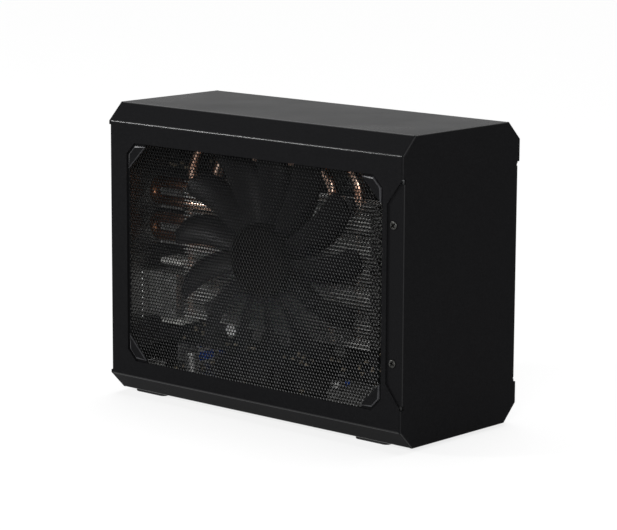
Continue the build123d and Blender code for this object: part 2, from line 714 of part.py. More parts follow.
def make_fin_stack():
    """Level fins soldered to an upright spine, pierced for the heat pipes."""
    spine_y = (FIN_FRONT_Y, FIN_REAR_Y)
    stack = block((FIN_BACK_X, SPINE_BACK_X), spine_y, (FIN_LOW_Z, FIN_HIGH_Z))
    count = int((FIN_STACK_HEIGHT - FIN_T) / FIN_PITCH) + 1
    fin = Rectangle(FIN_DEPTH, FIN_FRONT_REACH + FIN_REAR_REACH, align=Align.MIN)
    fin = Pos(FIN_FRONT_X, FIN_FRONT_Y) * fin
    hole = 2 * (PIPE_R + PIPE_PLAY)
    fin -= [Pos(PIPE_X, y) * Rectangle(hole, hole) for y in pipe_legs()]
    stack += [extrude(Pos(0, 0, FIN_LOW_Z + step * FIN_PITCH) * fin, amount=FIN_T) for step in range(count)]
    for low, high in hairpin_spans():
        hold = (FIN_REAR_Y - HAIRPIN_HOLD - PIPE_PLAY, FIN_REAR_Y)
        for z in (low, high):
            stack -= block(around(HAIRPIN_X, hole), hold, around(z, hole))
    return stack


def make_pipe(points, radius):
    """Bent tube of the heat pipes' thickness along a line of corners."""
    path = FilletPolyline(*points, radius=radius)
    return sweep(Plane(origin=path @ 0, z_dir=path % 0) * Circle(PIPE_R), path=path)


def make_heat_pipes():
    """Two pipes arched over the fins, and two hairpins out of their rear end."""
    pipes = []
    for spread, radius in zip(PIPE_SPREADS, PIPE_BENDS):
        top = FIN_HIGH_Z + radius
        front, rear = around(PIPE_MID_Y, spread)
        points = [(front, FIN_LOW_Z), (front, top), (rear, top), (rear, FIN_LOW_Z)]
        pipes.append(make_pipe([(PIPE_X, y, z) for y, z in points], radius))
    inner, outer = FIN_REAR_Y - HAIRPIN_HOLD, FIN_REAR_Y + HAIRPIN_REACH
    for low, high in hairpin_spans():
        points = [(inner, high), (outer, high), (outer, low), (inner, low)]
        pipes.append(make_pipe([(HAIRPIN_X, y, z) for y, z in points], HAIRPIN_PITCH / 2 - SEAM))
    return pipes


# Fans
def blade_section(radius, section, depth):
    """Thin arched section of a blade, square to the radius that it stands on."""
    chord, pitch, sweep_angle, skin, camber = section
    turn = radians(sweep_angle)
    out = Vector(cos(turn), sin(turn), 0)
    along = Vector(-sin(turn), cos(turn), 0)
    plane = Plane(origin=out * radius + Vector(0, 0, depth), x_dir=along, z_dir=out)
    half = chord / 2
    lower = ThreePointArc((-half, -skin), (0, -skin - camber), (half, -skin))
    upper = ThreePointArc((half, skin), (0, skin - camber), (-half, skin))
    rim = [lower, Line(lower @ 1, upper @ 0), upper, Line(upper @ 1, lower @ 0)]
    return plane * Rot(0, 0, pitch) * make_face(rim)


def make_impeller(hub_radius, hub_depth, wall, stations, blades, shaft_length):
    """Hub cup with its shaft and swept blades, open side up, with its axis along Z."""
    cup = Cylinder(hub_radius, hub_depth, align=(Align.CENTER, Align.CENTER, Align.MIN))
    cup = fillet(cup.edges().sort_by(Axis.Z)[0], HUB_ROUND)
    impeller = cup - rod_z(hub_radius - wall, (wall, hub_depth), 0, 0)
    impeller += rod_z(SHAFT_R, (0, shaft_length), 0, 0)
    blade = loft([blade_section(radius, section, hub_depth / 2) for radius, section in stations])
    for count in range(blades):
        impeller += Rot(0, 0, 360 * count / blades) * blade
    return impeller


def make_fan_rotor():
    """Thirteen swept blades on a hub cup, facing the left mesh."""
    root = HUB_RADIUS - BLADE_ROOT
    stations = list(zip((root, (root + FAN_RADIUS) / 2, FAN_RADIUS), FAN_SECTIONS))
    shaft = HUB_DEPTH + HUB_GAP
    impeller = make_impeller(HUB_RADIUS, HUB_DEPTH, HUB_WALL, stations, FAN_BLADES, shaft)
    plane = Plane((FAN_FRONT_X, FAN_Y, FAN_Z), x_dir=(0, 1, 0), z_dir=(1, 0, 0))
    return plane * Rot(0, 0, FAN_PHASE) * impeller


def make_fan_bracket():
    """Disc with four arms whose feet stand on the fins."""
    back = BRACKET_X + BRACKET_T
    bracket = rod_x(HUB_RADIUS, (BRACKET_X, back), FAN_Y, FAN_Z)
    for y_side in (-1, 1):
        for z_side in (-1, 1):
            reach = Vector(y_side * BRACKET_SPREAD[0], z_side * BRACKET_SPREAD[1])
            arm = Rot(0, 0, degrees(atan2(reach.Y, reach.X))) * Rectangle(reach.length, BRACKET_ARM)
            bracket += sheet_x(Pos(FAN_Y + reach.X / 2, FAN_Z + reach.Y / 2) * arm, (BRACKET_X, back))
            foot_y, foot_z = FAN_Y + reach.X, FAN_Z + reach.Y
            bracket += rod_x(BRACKET_FOOT_R, (BRACKET_X, FIN_FRONT_X), foot_y, foot_z)
    return bracket - rod_x(SHAFT_R + SHAFT_PLAY, (BRACKET_X, back), FAN_Y, FAN_Z)


def make_fan_motor():
    """Wound stator with the bearing that the rotor's shaft runs in."""
    stator = rod_x(STATOR_R, (BRACKET_X - STATOR_H, BRACKET_X), FAN_Y, FAN_Z)
    return stator - rod_x(SHAFT_R + SHAFT_PLAY, (BRACKET_X - STATOR_H, BRACKET_X), FAN_Y, FAN_Z)


# Card bracket and sockets
def wide_socket_z():
    return around(BRACKET_LOW_Z + WIDE_SOCKET_RISE + WIDE_SOCKET[2] / 2, WIDE_SOCKET[2])


def wide_block_z():
    """The steel block's span, which leaves a gap below the upper plastic end."""
    low = wide_socket_z()[0] + WIDE_END_H
    return (low, low + WIDE_BLOCK_H)


def slim_socket_z(rise):
    return around(BRACKET_LOW_Z + rise + SLIM_SOCKET[2] / 2, SLIM_SOCKET[2])


def bracket_screw_places():
    inset = 2 * SCREW_HEAD_R
    return [(x, BRACKET_HIGH_Z + SEAM - inset) for x in (BRACKET_LEFT_X + inset, BRACKET_RIGHT_X - inset)]


def vent_places():
    """Centres of the column of small air holes beside the long socket."""
    low = sum(wide_block_z()) / 2 - VENT_PITCH * (VENT_COUNT - 1) / 2
    return [(BRACKET_LEFT_X + VENT_SIDE, low + count * VENT_PITCH) for count in range(VENT_COUNT)]


def make_card_bracket():
    """Double-width bracket with socket cut-outs in one half and air holes in the other."""
    y = (CARD_BRACKET_Y, REAR_IN)
    bracket = block((BRACKET_LEFT_X, BRACKET_RIGHT_X), y, (BRACKET_LOW_Z, BRACKET_HIGH_Z))
    wide_x = around(CARD_FRONT_X - WIDE_SOCKET[0] / 2, WIDE_SHELL[0] + 2 * SOCKET_PLAY)
    wide_mid = sum(wide_block_z()) / 2
    bracket -= block(wide_x, y, around(wide_mid, WIDE_SHELL[1] + 2 * SOCKET_PLAY))
    slim_x = around(CARD_FRONT_X - SLIM_SOCKET[0] / 2, SLIM_SOCKET[0] + 2 * SOCKET_PLAY)
    for rise in SLIM_SOCKET_RISES:
        low, high = slim_socket_z(rise)
        bracket -= block(slim_x, y, (low - SOCKET_PLAY, high + SOCKET_PLAY))
    bracket -= [sheet_y(Pos(x, z) * RegularPolygon(VENT_SIZE / 2, 6), y) for x, z in vent_places()]
    for x, z in bracket_screw_places():
        bracket -= rod_y(SCREW_SHANK_R + SCREW_PLAY, y, x, z)
    return bracket


def make_wide_socket():
    """Long video socket on the board, with its shell through the bracket."""
    depth, length, _ = WIDE_SOCKET
    x = (CARD_FRONT_X - depth, CARD_FRONT_X)
    z = wide_block_z()
    socket = block(x, (CARD_BRACKET_Y - length, CARD_BRACKET_Y), z)
    proud = HALF_L + SOCKET_PROUD
    shell_x, shell_z = around(sum(x) / 2, WIDE_SHELL[0]), around(sum(z) / 2, WIDE_SHELL[1])
    socket += block(shell_x, (CARD_BRACKET_Y, proud), shell_z)
    mouth_x = around(sum(x) / 2, WIDE_SHELL[0] - 2 * SHELL_WALL)
    mouth_z = around(sum(z) / 2, WIDE_SHELL[1] - 2 * SHELL_WALL)
    return socket - block(mouth_x, (proud - MOUTH_DEPTH, proud), mouth_z)


def make_wide_socket_ends():
    """The plastic body's two ends, below and above the long socket's steel block."""
    depth, length, _ = WIDE_SOCKET
    low, high = wide_socket_z()
    x = (CARD_FRONT_X - depth + WIDE_END_STEP, CARD_FRONT_X)
    y = (CARD_BRACKET_Y - length - WIDE_END_STEP, CARD_BRACKET_Y - WIDE_END_SETBACK)
    return [block(x, y, (low, low + WIDE_END_H)), block(x, y, (high - WIDE_END_H, high))]


def make_slim_socket(rise):
    """Flat video socket with a contact tongue in its mouth."""
    depth, length, _ = SLIM_SOCKET
    x, z = (CARD_FRONT_X - depth, CARD_FRONT_X), slim_socket_z(rise)
    proud = HALF_L + SOCKET_PROUD
    socket = block(x, (CARD_BRACKET_Y - length, proud), z)
    mouth_z = (z[0] + SHELL_WALL, z[1] - SHELL_WALL)
    socket -= block((x[0] + SHELL_WALL, x[1] - SHELL_WALL), (proud - MOUTH_DEPTH, proud), mouth_z)
    tongue_z = (mouth_z[0] + SHELL_WALL, mouth_z[1] - SHELL_WALL)
    tongue_y = (proud - MOUTH_DEPTH, proud - SHELL_WALL)
    return socket + block(around(sum(x) / 2, SLIM_TONGUE_T), tongue_y, tongue_z)


# Rear sockets of the main board
def usb_x(count):
    return USB_FIRST_X + count * USB_STACK_SPACING


def usb_mouth_z(level):
    share = USB_STACK[2] / USB_LEVELS
    return around(MAIN_BOARD_TOP + share * (level + 0.5), USB_MOUTH[1])


def make_usb_stack(count):
    """Steel shell of two sockets, one above the other."""
    width, depth, height = USB_STACK
    front = HALF_L + SOCKET_PROUD
    shell_z = (MAIN_BOARD_TOP, MAIN_BOARD_TOP + height)
    shell = block(around(usb_x(count), width), (front - depth, front), shell_z)
    for level in range(USB_LEVELS):
        mouth = around(usb_x(count), USB_MOUTH[0])
        shell -= block(mouth, (front - depth, front), usb_mouth_z(level))
    return shell


def make_usb_tongues():
    """Plastic bodies that close the four sockets' backs, with their contact tongues."""
    tongues = []
    front = HALF_L + SOCKET_PROUD
    for count in range(USB_STACKS):
        for level in range(USB_LEVELS):
            back = front - USB_STACK[1]
            mouth = around(usb_x(count), USB_MOUTH[0])
            body = block(mouth, (back, back + USB_BODY_DEPTH), usb_mouth_z(level))
            top = usb_mouth_z(level)[1] - SHELL_WALL
            y = (back + USB_BODY_DEPTH, front - 2 * SHELL_WALL)
            tongues.append(body + block(around(usb_x(count), USB_TONGUE[0]), y, (top - USB_TONGUE[1], top)))
    return tongues


def make_link_port():
    """Flat link socket with rounded ends, a tongue in its mouth."""
    width, depth, height = LINK_PORT
    z = MAIN_BOARD_TOP + height / 2
    front = HALF_L + SOCKET_PROUD
    port = sheet_y(Pos(-LINK_PORT_SIDE, z) * SlotOverall(width, height), (front - depth, front))
    mouth = SlotOverall(width - SHELL_WALL, height - SHELL_WALL)
    port -= sheet_y(Pos(-LINK_PORT_SIDE, z) * mouth, (front - MOUTH_DEPTH, front))
    tongue = (front - MOUTH_DEPTH, front - SHELL_WALL)
    return port + block(around(-LINK_PORT_SIDE, width - height), tongue, around(z, SHELL_WALL))


# Power supply
def supply_pairs(inset):
    """The supply's box, drawn in by a wall."""
    x = (SUPPLY_LEFT_X + inset, SUPPLY_RIGHT_X - inset)
    y = (SUPPLY_FRONT_Y + inset, REAR_IN - inset)
    return x, y, (SUPPLY_LOW_Z + inset, SUPPLY_HIGH_Z - inset)


def make_supply_case():
    """Sheet steel box, open where the inlet and the small fan stand in it, with vents at its front end."""
    x, y, z = supply_pairs(0)
    case = block(x, y, z)
    case = fillet(case.edges().filter_by(Axis.Y), EDGE_ROUND)
    case -= block(*supply_pairs(SUPPLY_WALL))
    rear_wall = (REAR_IN - SUPPLY_WALL, REAR_IN)
    case -= sheet_y(Pos(SUPPLY_MID_X, 0) * inlet_outline(-SEAM), rear_wall)
    fan_y = (REAR_IN - SMALL_FAN_DEPTH - SEAM, REAR_IN)
    case -= block(x, fan_y, around(SMALL_FAN_Z, SMALL_FAN + 2 * SEAM))
    pitch = SUPPLY_HEIGHT / (SUPPLY_VENTS + 1)
    for count in range(SUPPLY_VENTS):
        vent = SlotOverall(SUPPLY_WIDTH - 2 * SUPPLY_VENT_INSET, SUPPLY_VENT_HEIGHT)
        vent = Pos(SUPPLY_MID_X, SUPPLY_LOW_Z + (count + 1) * pitch) * vent
        case -= sheet_y(vent, (SUPPLY_FRONT_Y, SUPPLY_FRONT_Y + SUPPLY_WALL))
    for x, z in supply_screw_places():
        case -= rod_y(SCREW_SHANK_R + SCREW_PLAY, rear_wall, x, z)
    return case


def make_supply_core():
    """One block for the supply's board and coils, on the floor of its case."""
    width = SUPPLY_WIDTH - 2 * SUPPLY_WALL - 2 * CORE_SIDE_GAP
    low = SUPPLY_LOW_Z + SUPPLY_WALL
    core_y = (SUPPLY_FRONT_Y + CORE_FRONT_GAP, REAR_IN - CORE_REAR_GAP)
    return block(around(SUPPLY_MID_X, width), core_y, (low, SUPPLY_HIGH_Z - SUPPLY_WALL - CORE_TOP_GAP))


def inlet_outline(inset):
    """Socket outline with its two upper corners cut."""
    half, cut = INLET_WIDTH / 2 - inset, INLET_CUT - inset * (2 - sqrt(2))
    low, high = INLET_Z - INLET_HEIGHT / 2 + inset, INLET_Z + INLET_HEIGHT / 2 - inset
    return outline([(-half, low), (half, low), (half, high - cut), (half - cut, high), (-half + cut, high),
                    (-half, high - cut)])


def make_inlet():
    place = Pos(SUPPLY_MID_X, 0)
    inlet = sheet_y(place * inlet_outline(0), (HALF_L - INLET_DEPTH, HALF_L))
    return inlet - sheet_y(place * inlet_outline(INLET_WALL), (HALF_L - INLET_RECESS, HALF_L))


def make_inlet_pins():
    """Three flat contact pins that stand on the inlet's floor."""
    y = (HALF_L - INLET_RECESS, HALF_L - INLET_WALL)
    places = [(-PIN_SPREAD, -PIN_OFFSET), (0, PIN_OFFSET), (PIN_SPREAD, -PIN_OFFSET)]
    wide, tall = PIN_SIZE
    return [block(around(SUPPLY_MID_X + x, wide), y, around(INLET_Z + z, tall)) for x, z in places]


def make_small_fan_frame():
    """Square frame with a round bore and a bearing post on three struts."""
    y = (REAR_IN - SMALL_FAN_DEPTH, REAR_IN)
    centre = Pos(SUPPLY_MID_X, SMALL_FAN_Z)
    frame = sheet_y(centre * (Rectangle(SMALL_FAN, SMALL_FAN) - Circle(SMALL_FAN_BORE / 2)), y)
    strut_y = (y[0], y[0] + BRACKET_T)
    frame += sheet_y(centre * Circle(SMALL_HUB_RADIUS), strut_y)
    strut = Pos(SMALL_FAN_BORE / 4, 0) * Rectangle(SMALL_FAN_BORE / 2, BRACKET_T)
    for count in range(SMALL_FAN_STRUTS):
        turn = Rot(0, 0, 90 + 360 * count / SMALL_FAN_STRUTS)
        frame += sheet_y(centre * turn * strut, strut_y)
    post_y = (y[0], REAR_IN - SMALL_FAN_CLEAR - 2 * SMALL_HUB_WALL)
    frame += rod_y(SMALL_POST_R, post_y, SUPPLY_MID_X, SMALL_FAN_Z)
    for x, z in guard_screw_places():
        frame -= rod_y(SCREW_SHANK_R + SCREW_PLAY, y, x, z)
    return frame - rod_y(SHAFT_R + SHAFT_PLAY, y, SUPPLY_MID_X, SMALL_FAN_Z)


def make_small_fan_rotor():
    """Seven-blade rotor of the power supply's fan."""
    hub_depth = SMALL_FAN_DEPTH - SMALL_FAN_CLEAR - BRACKET_T - HUB_GAP
    radius = SMALL_FAN_BORE / 2 - SMALL_FAN_CLEAR
    root = SMALL_HUB_RADIUS - SMALL_BLADE_ROOT
    stations = list(zip((root, radius - SMALL_FAN_CLEAR), SMALL_FAN_SECTIONS))
    shaft = hub_depth + HUB_GAP
    impeller = make_impeller(
        SMALL_HUB_RADIUS, hub_depth, SMALL_HUB_WALL, stations, SMALL_FAN_BLADES, shaft)
    origin = (SUPPLY_MID_X, REAR_IN - SMALL_FAN_CLEAR, SMALL_FAN_Z)
    return Plane(origin, x_dir=(1, 0, 0), z_dir=(0, -1, 0)) * impeller


def guard_reach():
    return SMALL_FAN / 2 - 2 * SCREW_HEAD_R + SCREW_SHANK_R


def guard_screw_places():
    reach = guard_reach()
    return [(SUPPLY_MID_X + x * reach, SMALL_FAN_Z + z * reach) for x in (-1, 1) for z in (-1, 1)]


def guard_sketch():
    """Ring-and-spoke pattern of the fan guard, about its own middle."""
    bore = SMALL_FAN_BORE / 2
    pattern = Sketch()
    pitch = bore / GUARD_RINGS
    for count in range(GUARD_RINGS):
        middle = pitch * (count + 0.5)
        pattern += Circle(middle + GUARD_WIRE / 2) - Circle(middle - GUARD_WIRE / 2)
    reach = sqrt(2) * guard_reach()
    for angle in (45, 135):
        pattern += Rot(0, 0, angle) * Rectangle(2 * reach, GUARD_WIRE)
    for count in range(4):
        pattern += Rot(0, 0, 45 + 90 * count) * Pos(reach, 0) * Circle(SCREW_HEAD_R)
    return pattern


def make_fan_guard():
    """Stamped guard on the rear panel, over the small fan's opening."""
    guard = sheet_y(Pos(SUPPLY_MID_X, SMALL_FAN_Z) * guard_sketch(), (HALF_L, HALF_L + GUARD_T))
    for x, z in guard_screw_places():
        guard -= rod_y(SCREW_SHANK_R + SCREW_PLAY, (HALF_L, HALF_L + GUARD_T), x, z)
    return guard


# Rear panel
def make_rear_panel():
    """End panel with openings for the card bracket, the sockets, the inlet and the small fan."""
    panel = make_end_panel(1, REAR_FLANGE_LENGTH, PANEL_T + SEAM + NOTCH_DEPTH)
    wall = (REAR_IN, HALF_L)
    card_x = (BRACKET_LEFT_X + CARD_OPENING_EDGE, BRACKET_RIGHT_X - CARD_OPENING_EDGE)
    card_z = (BRACKET_LOW_Z + CARD_OPENING_EDGE, BRACKET_HIGH_Z - CARD_OPENING_TOP)
    panel -= block(card_x, wall, card_z)
    for count in range(USB_STACKS):
        usb_z = (MAIN_BOARD_TOP - SOCKET_PLAY, MAIN_BOARD_TOP + USB_STACK[2] + SOCKET_PLAY)
        panel -= block(around(usb_x(count), USB_STACK[0] + 2 * SOCKET_PLAY), wall, usb_z)
    link = SlotOverall(LINK_PORT[0] + 2 * SOCKET_PLAY, LINK_PORT[2] + 2 * SOCKET_PLAY)
    panel -= sheet_y(Pos(-LINK_PORT_SIDE, MAIN_BOARD_TOP + LINK_PORT[2] / 2) * link, wall)
    panel -= sheet_y(Pos(SUPPLY_MID_X, 0) * inlet_outline(-SEAM), wall)
    panel -= rod_y(SMALL_FAN_BORE / 2, wall, SUPPLY_MID_X, SMALL_FAN_Z)
    for x, z in rear_holes():
        panel -= rod_y(SCREW_SHANK_R + SCREW_PLAY, wall, x, z)
    return panel


def supply_screw_places():
    """Two above the inlet and one between the inlet and the small fan."""
    left, right = SUPPLY_LEFT_X + SUPPLY_SCREW_INSET, SUPPLY_RIGHT_X - SUPPLY_SCREW_INSET
    low = INLET_Z - INLET_HEIGHT / 2 - INLET_FAN_GAP / 2
    high = SUPPLY_HIGH_Z - SUPPLY_SCREW_INSET
    return [(left, high), (right, high), (left, low)]


def rear_holes():
    tray = [(x, rear_screw_z()) for x in rear_screw_places()]
    return tray + bracket_screw_places() + guard_screw_places() + supply_screw_places()


def make_rear_screws():
    """Screws that hold the rear panel to the tray."""
    return [make_screw(Plane((x, HALF_L, rear_screw_z()), z_dir=(0, 1, 0))) for x in rear_screw_places()]


def make_bracket_screws():
    return [make_screw(Plane((x, HALF_L, z), z_dir=(0, 1, 0))) for x, z in bracket_screw_places()]


def make_supply_screws():
    return [make_screw(Plane((x, HALF_L, z), z_dir=(0, 1, 0))) for x, z in supply_screw_places()]


def make_guard_screws():
    return [make_screw(Plane((x, HALF_L + GUARD_T, z), z_dir=(0, 1, 0))) for x, z in guard_screw_places()]


# Every piece by its name
def build():
    front_foot = -HALF_L + FRONT_FOOT_SETBACK
    rear_foot = HALF_L - REAR_FOOT_SETBACK
    return {
        "cover": make_cover(),
        "left_mesh_panel": make_mesh_panel(-1),
        "right_mesh_panel": make_mesh_panel(1),
        "front_panel": make_front_panel(),
        "rear_panel": make_rear_panel(),
        "chassis_tray": make_tray(),
        "front_screws": make_front_screws(),
        "rear_screws": make_rear_screws(),
        "foot_front_left": make_foot(-1, front_foot),
        "foot_front_right": make_foot(1, front_foot),
        "foot_rear_left": make_foot(-1, rear_foot),
        "foot_rear_right": make_foot(1, rear_foot),
        "main_board": make_main_board(),
        "board_standoffs": make_standoffs(),
        "board_screws": make_board_screws(),
        "expansion_slot": make_slot(),
        "slot_latch": make_slot_latch(),
        "board_capacitors": make_board_capacitors(),
        "board_chokes": make_board_chokes(),
        "controller_heatsink": make_controller_sink(),
        "usb_stack_inner": make_usb_stack(0),
        "usb_stack_outer": make_usb_stack(1),
        "usb_tongues": make_usb_tongues(),
        "link_port": make_link_port(),
        "graphics_board": make_graphics_board(),
        "processor_package": make_processor(),
        "memory_chips": make_memory_chips(),
        "card_capacitors": make_card_capacitors(),
        "card_power_socket": make_card_power_socket(),
        "cold_plate": make_cold_plate(),
        "fin_stack": make_fin_stack(),
        "heat_pipes": make_heat_pipes(),
        "fan_bracket": make_fan_bracket(),
        "fan_motor": make_fan_motor(),
        "fan_rotor": make_fan_rotor(),
        "card_bracket": make_card_bracket(),
        "bracket_screws": make_bracket_screws(),
        "wide_video_socket": make_wide_socket(),
        "wide_socket_ends": make_wide_socket_ends(),
        "slim_video_socket_lower": make_slim_socket(SLIM_SOCKET_RISES[0]),
        "slim_video_socket_upper": make_slim_socket(SLIM_SOCKET_RISES[1]),
        "supply_case": make_supply_case(),
        "supply_core": make_supply_core(),
        "supply_inlet": make_inlet(),
        "inlet_pins": make_inlet_pins(),
        "small_fan_frame": make_small_fan_frame(),
        "small_fan_rotor": make_small_fan_rotor(),
        "small_fan_guard": make_fan_guard(),
        "guard_screws": make_guard_screws(),
        "supply_screws": make_supply_screws(),
    }


os.makedirs("parts", exist_ok=True)
for name, shape in build().items():
    solids = shape if isinstance(shape, list) else [shape]
    piece = Compound(children=[solid for group in solids for solid in group.solids()])
    export_step(piece, f"parts/{name}.step")
    print(name, len(piece.solids()), round(piece.volume, 1))
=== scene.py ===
# %% [markdown]
# # An external graphics card enclosure
# A black powder-coated steel box with clipped corners. Each long side has a window of fine perforated
# sheet, and behind the left one a large fan blows on the fins of a graphics card. The solids come from the
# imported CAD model, and this lesson gives them their finishes and adds what is too fine for CAD: thousands
# of small holes, cross-headed screws, arched fan blades and the small parts on the boards.

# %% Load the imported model
import math
import random

import bmesh
import bpy
from mathutils import Matrix, Vector


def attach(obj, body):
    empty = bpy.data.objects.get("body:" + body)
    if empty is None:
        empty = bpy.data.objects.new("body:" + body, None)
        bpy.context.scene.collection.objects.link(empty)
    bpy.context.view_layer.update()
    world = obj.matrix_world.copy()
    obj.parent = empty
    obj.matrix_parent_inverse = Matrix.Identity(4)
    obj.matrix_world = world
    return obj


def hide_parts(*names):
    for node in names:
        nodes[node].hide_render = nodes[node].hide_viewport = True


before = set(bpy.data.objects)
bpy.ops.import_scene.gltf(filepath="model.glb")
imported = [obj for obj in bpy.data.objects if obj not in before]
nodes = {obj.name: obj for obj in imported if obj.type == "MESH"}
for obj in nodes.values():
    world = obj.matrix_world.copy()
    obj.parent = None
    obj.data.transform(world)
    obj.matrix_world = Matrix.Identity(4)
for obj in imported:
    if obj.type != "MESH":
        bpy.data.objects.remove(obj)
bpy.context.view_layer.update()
MM = 0.001

# %% [markdown]
# ## The camera
# The photograph was solved as a pinhole camera from the box's own corners, with its real length and
# width known. That gives the direction, the distance and a long lens, so the lines run as they do there.

# %% Camera at the photograph's place
scene = bpy.context.scene


def new_object(name, data):
    """An object in the scene, at the origin."""
    made = bpy.data.objects.new(name, data)
    scene.collection.objects.link(made)
    return made


IMAGE_WIDTH = 617
FOCAL_PIXELS = 2615.2
AZIMUTH, ELEVATION, ROLL = (math.radians(angle) for angle in (-48.24, 10.26, 0.27))
DISTANCE = 1430.2
TARGET = Vector((2.9, 2.9, 79.0))

level = math.cos(ELEVATION)
back = Vector((math.sin(AZIMUTH) * level, -math.cos(AZIMUTH) * level, math.sin(ELEVATION)))
right = Vector((math.cos(AZIMUTH), math.sin(AZIMUTH), 0))
up = back.cross(right)
lean, rise = math.sin(ROLL), math.cos(ROLL)
right, up = right * rise + up * lean, up * rise - right * lean

lens = bpy.data.cameras.new("photo_camera")
lens.sensor_fit = "HORIZONTAL"
lens.sensor_width = 36.0
lens.lens = FOCAL_PIXELS / IMAGE_WIDTH * lens.sensor_width
lens.clip_start, lens.clip_end = 0.05, 60.0
camera = new_object("photo_camera", lens)
place = Matrix((right, up, back)).transposed().to_4x4()
place.translation = (TARGET + back * DISTANCE) * MM
camera.matrix_world = place
bpy.context.scene.camera = camera
print("lens", round(lens.lens, 2), "mm, camera at", [round(v, 3) for v in place.translation])

# %% [markdown]
# ## Two small helpers
# Colours are written as they look on a screen, as sRGB hex values, and one function turns them into the
# linear values that the renderer counts with. Another adds a node, sets it up and links it, so that a
# material or a tree of geometry nodes reads from top to bottom.

# %% Colour and node helpers
def linear(colour):
    """Linear RGBA of an sRGB hex colour."""
    parts = [int(colour[start:start + 2], 16) / 255 for start in (1, 3, 5)]
    return [p / 12.92 if p <= 0.04045 else ((p + 0.055) / 1.055) ** 2.4 for p in parts] + [1.0]


def add(tree, kind, inputs=None, **settings):
    """One node, with its settings, its values and its links. A node as a value links its first output."""
    made = tree.nodes.new(kind)
    for key, value in settings.items():
        setattr(made, key, value)
    for key, value in (inputs or {}).items():
        if isinstance(value, bpy.types.Node):
            value = value.outputs[0]
        if isinstance(value, bpy.types.NodeSocket):
            tree.links.new(value, made.inputs[key])
        else:
            made.inputs[key].default_value = value
    return made


print("linear grey of #808080", round(linear("#808080")[0], 4))

# %% [markdown]
# ## How a finish is put together
# Nearly every real surface shows the same three things: its colour wanders between two close shades, its
# roughness drifts from place to place, and it has a fine relief of some real depth. Each of the three gets
# a pattern whose size is given in millimetres. Whatever is the same all over is set on the shader itself.

# %% A finish from patterns of real sizes
NOISE_DETAIL, SHADE_LIMITS, ROUGH_DRIFT, RELIEF_STRENGTH = 3.0, (0.3, 0.7), (-0.05, 0.07), 0.4


def new_finish(name):
    """An empty material, its tree, and the place on the object that its patterns read."""
    material = bpy.data.materials.new(name)
    material.use_nodes = True
    material.node_tree.nodes.clear()
    place = add(material.node_tree, "ShaderNodeTexCoord").outputs["Object"]
    return material, material.node_tree, place


def coat(tree, shades, limits, shade_by, rough_by, rough, height_by=None, depth=0.0, **constants):
    """Closes a finish: two shades, a span of roughness and a relief, each from its own pattern."""
    ramp = add(tree, "ShaderNodeValToRGB", {"Fac": shade_by})
    for stop, position, shade in zip(ramp.color_ramp.elements, limits, shades):
        stop.position, stop.color = position, linear(shade)
    drift = add(tree, "ShaderNodeMapRange", {"Value": rough_by, "To Min": rough[0], "To Max": rough[1]})
    shader = add(tree, "ShaderNodeBsdfPrincipled", {"Base Color": ramp, "Roughness": drift, **constants})
    if height_by:
        bump = add(tree, "ShaderNodeBump", {"Height": height_by, "Distance": depth * MM,
                                            "Strength": RELIEF_STRENGTH})
        tree.links.new(bump.outputs["Normal"], shader.inputs["Normal"])
    add(tree, "ShaderNodeOutputMaterial", {"Surface": shader})


def make_finish(name, shades, rough, shade_mm, drift_mm, relief_mm, depth, **constants):
    """A finish whose three patterns are soft noise of the sizes given."""
    material, tree, place = new_finish(name)
    by = [add(tree, "ShaderNodeTexNoise", {"Vector": place, "Scale": 1 / (size * MM), "Detail": NOISE_DETAIL})
          for size in (shade_mm, drift_mm, relief_mm)]
    span = [rough + drift for drift in ROUGH_DRIFT]
    coat(tree, shades, SHADE_LIMITS, by[0], by[1], span, by[2], depth, **constants)
    return material


def nonmetal(gloss):
    """What a paint, a plastic or a resin has the same all over: its index and how much it shines."""
    return {"IOR": 1.5, "Specular IOR Level": gloss}


METAL = {"Metallic": 1.0}
print("finish helpers ready")

# %% [markdown]
# ## Painted steel
# The cover and the end panels are sheet steel with a matte powder coat: a baked polyester with a fine
# sandy texture that breaks up every reflection. Its real grit is about 0.2 mm, too fine for this picture,
# so it is drawn at 0.7 mm, and baking leaves patches of 45 mm that shine a little more or less. The low
# specular level keeps the black deep, as matting agents do. The perforated sheet is flatter still, and its
# coat is drawn darker than the cover's, as painted shade. Round the punched holes and over the folds the
# coat is thin and smooth, and it glints; the pressed edges are drawn a lighter grey, a painted highlight.
# Each coat is given by its two shades, its roughness, the depth of its relief and its gloss.

# %% Powder coats
GRIT, PATCH = 0.7, 45.0
coats = {
    # A deep black that stays dull from the front and turns grey at a grazing angle, as on the top
    "powder_coated_steel": (("#111112", "#171718"), 0.28, 0.06, 0.006),
    # Painted shade: the cover's coat drawn near black, so that the sheet is lost against what is behind it.
    # The same painted shade fills the crosses of the screws.
    "powder_coated_mesh_in_painted_shade": (("#050505", "#0a0a0a"), 0.45, 0.05, 0.0),
    # A point of light at each hole, from the gloss; the base is drawn as dark as the mesh, as painted shade
    "coat_on_punched_edges": (("#040404", "#070707"), 0.17, 0.001, 0.12),
    # A fine bright line along each fold
    "coat_on_folds": (("#111112", "#171718"), 0.24, 0.01, 0.18),
    # Painted highlight: the pressed edges drawn a lighter grey, an outline of light
    "coat_with_painted_highlight_on_pressed_edges": (("#29292b", "#373739"), 0.3, 0.01, 0.18),
}
painted = {name: make_finish(name, shades, rough, GRIT, PATCH, GRIT, depth, **nonmetal(gloss))
           for name, (shades, rough, depth, gloss) in coats.items()}
powder_coat, painted_shade_coat, punched_edge, fold_coat, painted_highlight_coat = painted.values()
print("coats", list(painted))

# %% [markdown]
# ## Bare metals
# Screws are steel with a dark zinc plating, socket shells are tinned, and the card's bracket has a nickel
# plating. The tray and the supply's case are galvanised sheet with its pale crystal spangle, the fins are
# plain rolled aluminium, and the heat pipes are pale drawn copper. All are metals, so the colour tints the
# reflection, and small changes of roughness make them look handled. Each is given by its two shades, its
# roughness, the size of its clouds and of its relief, and the relief's depth.

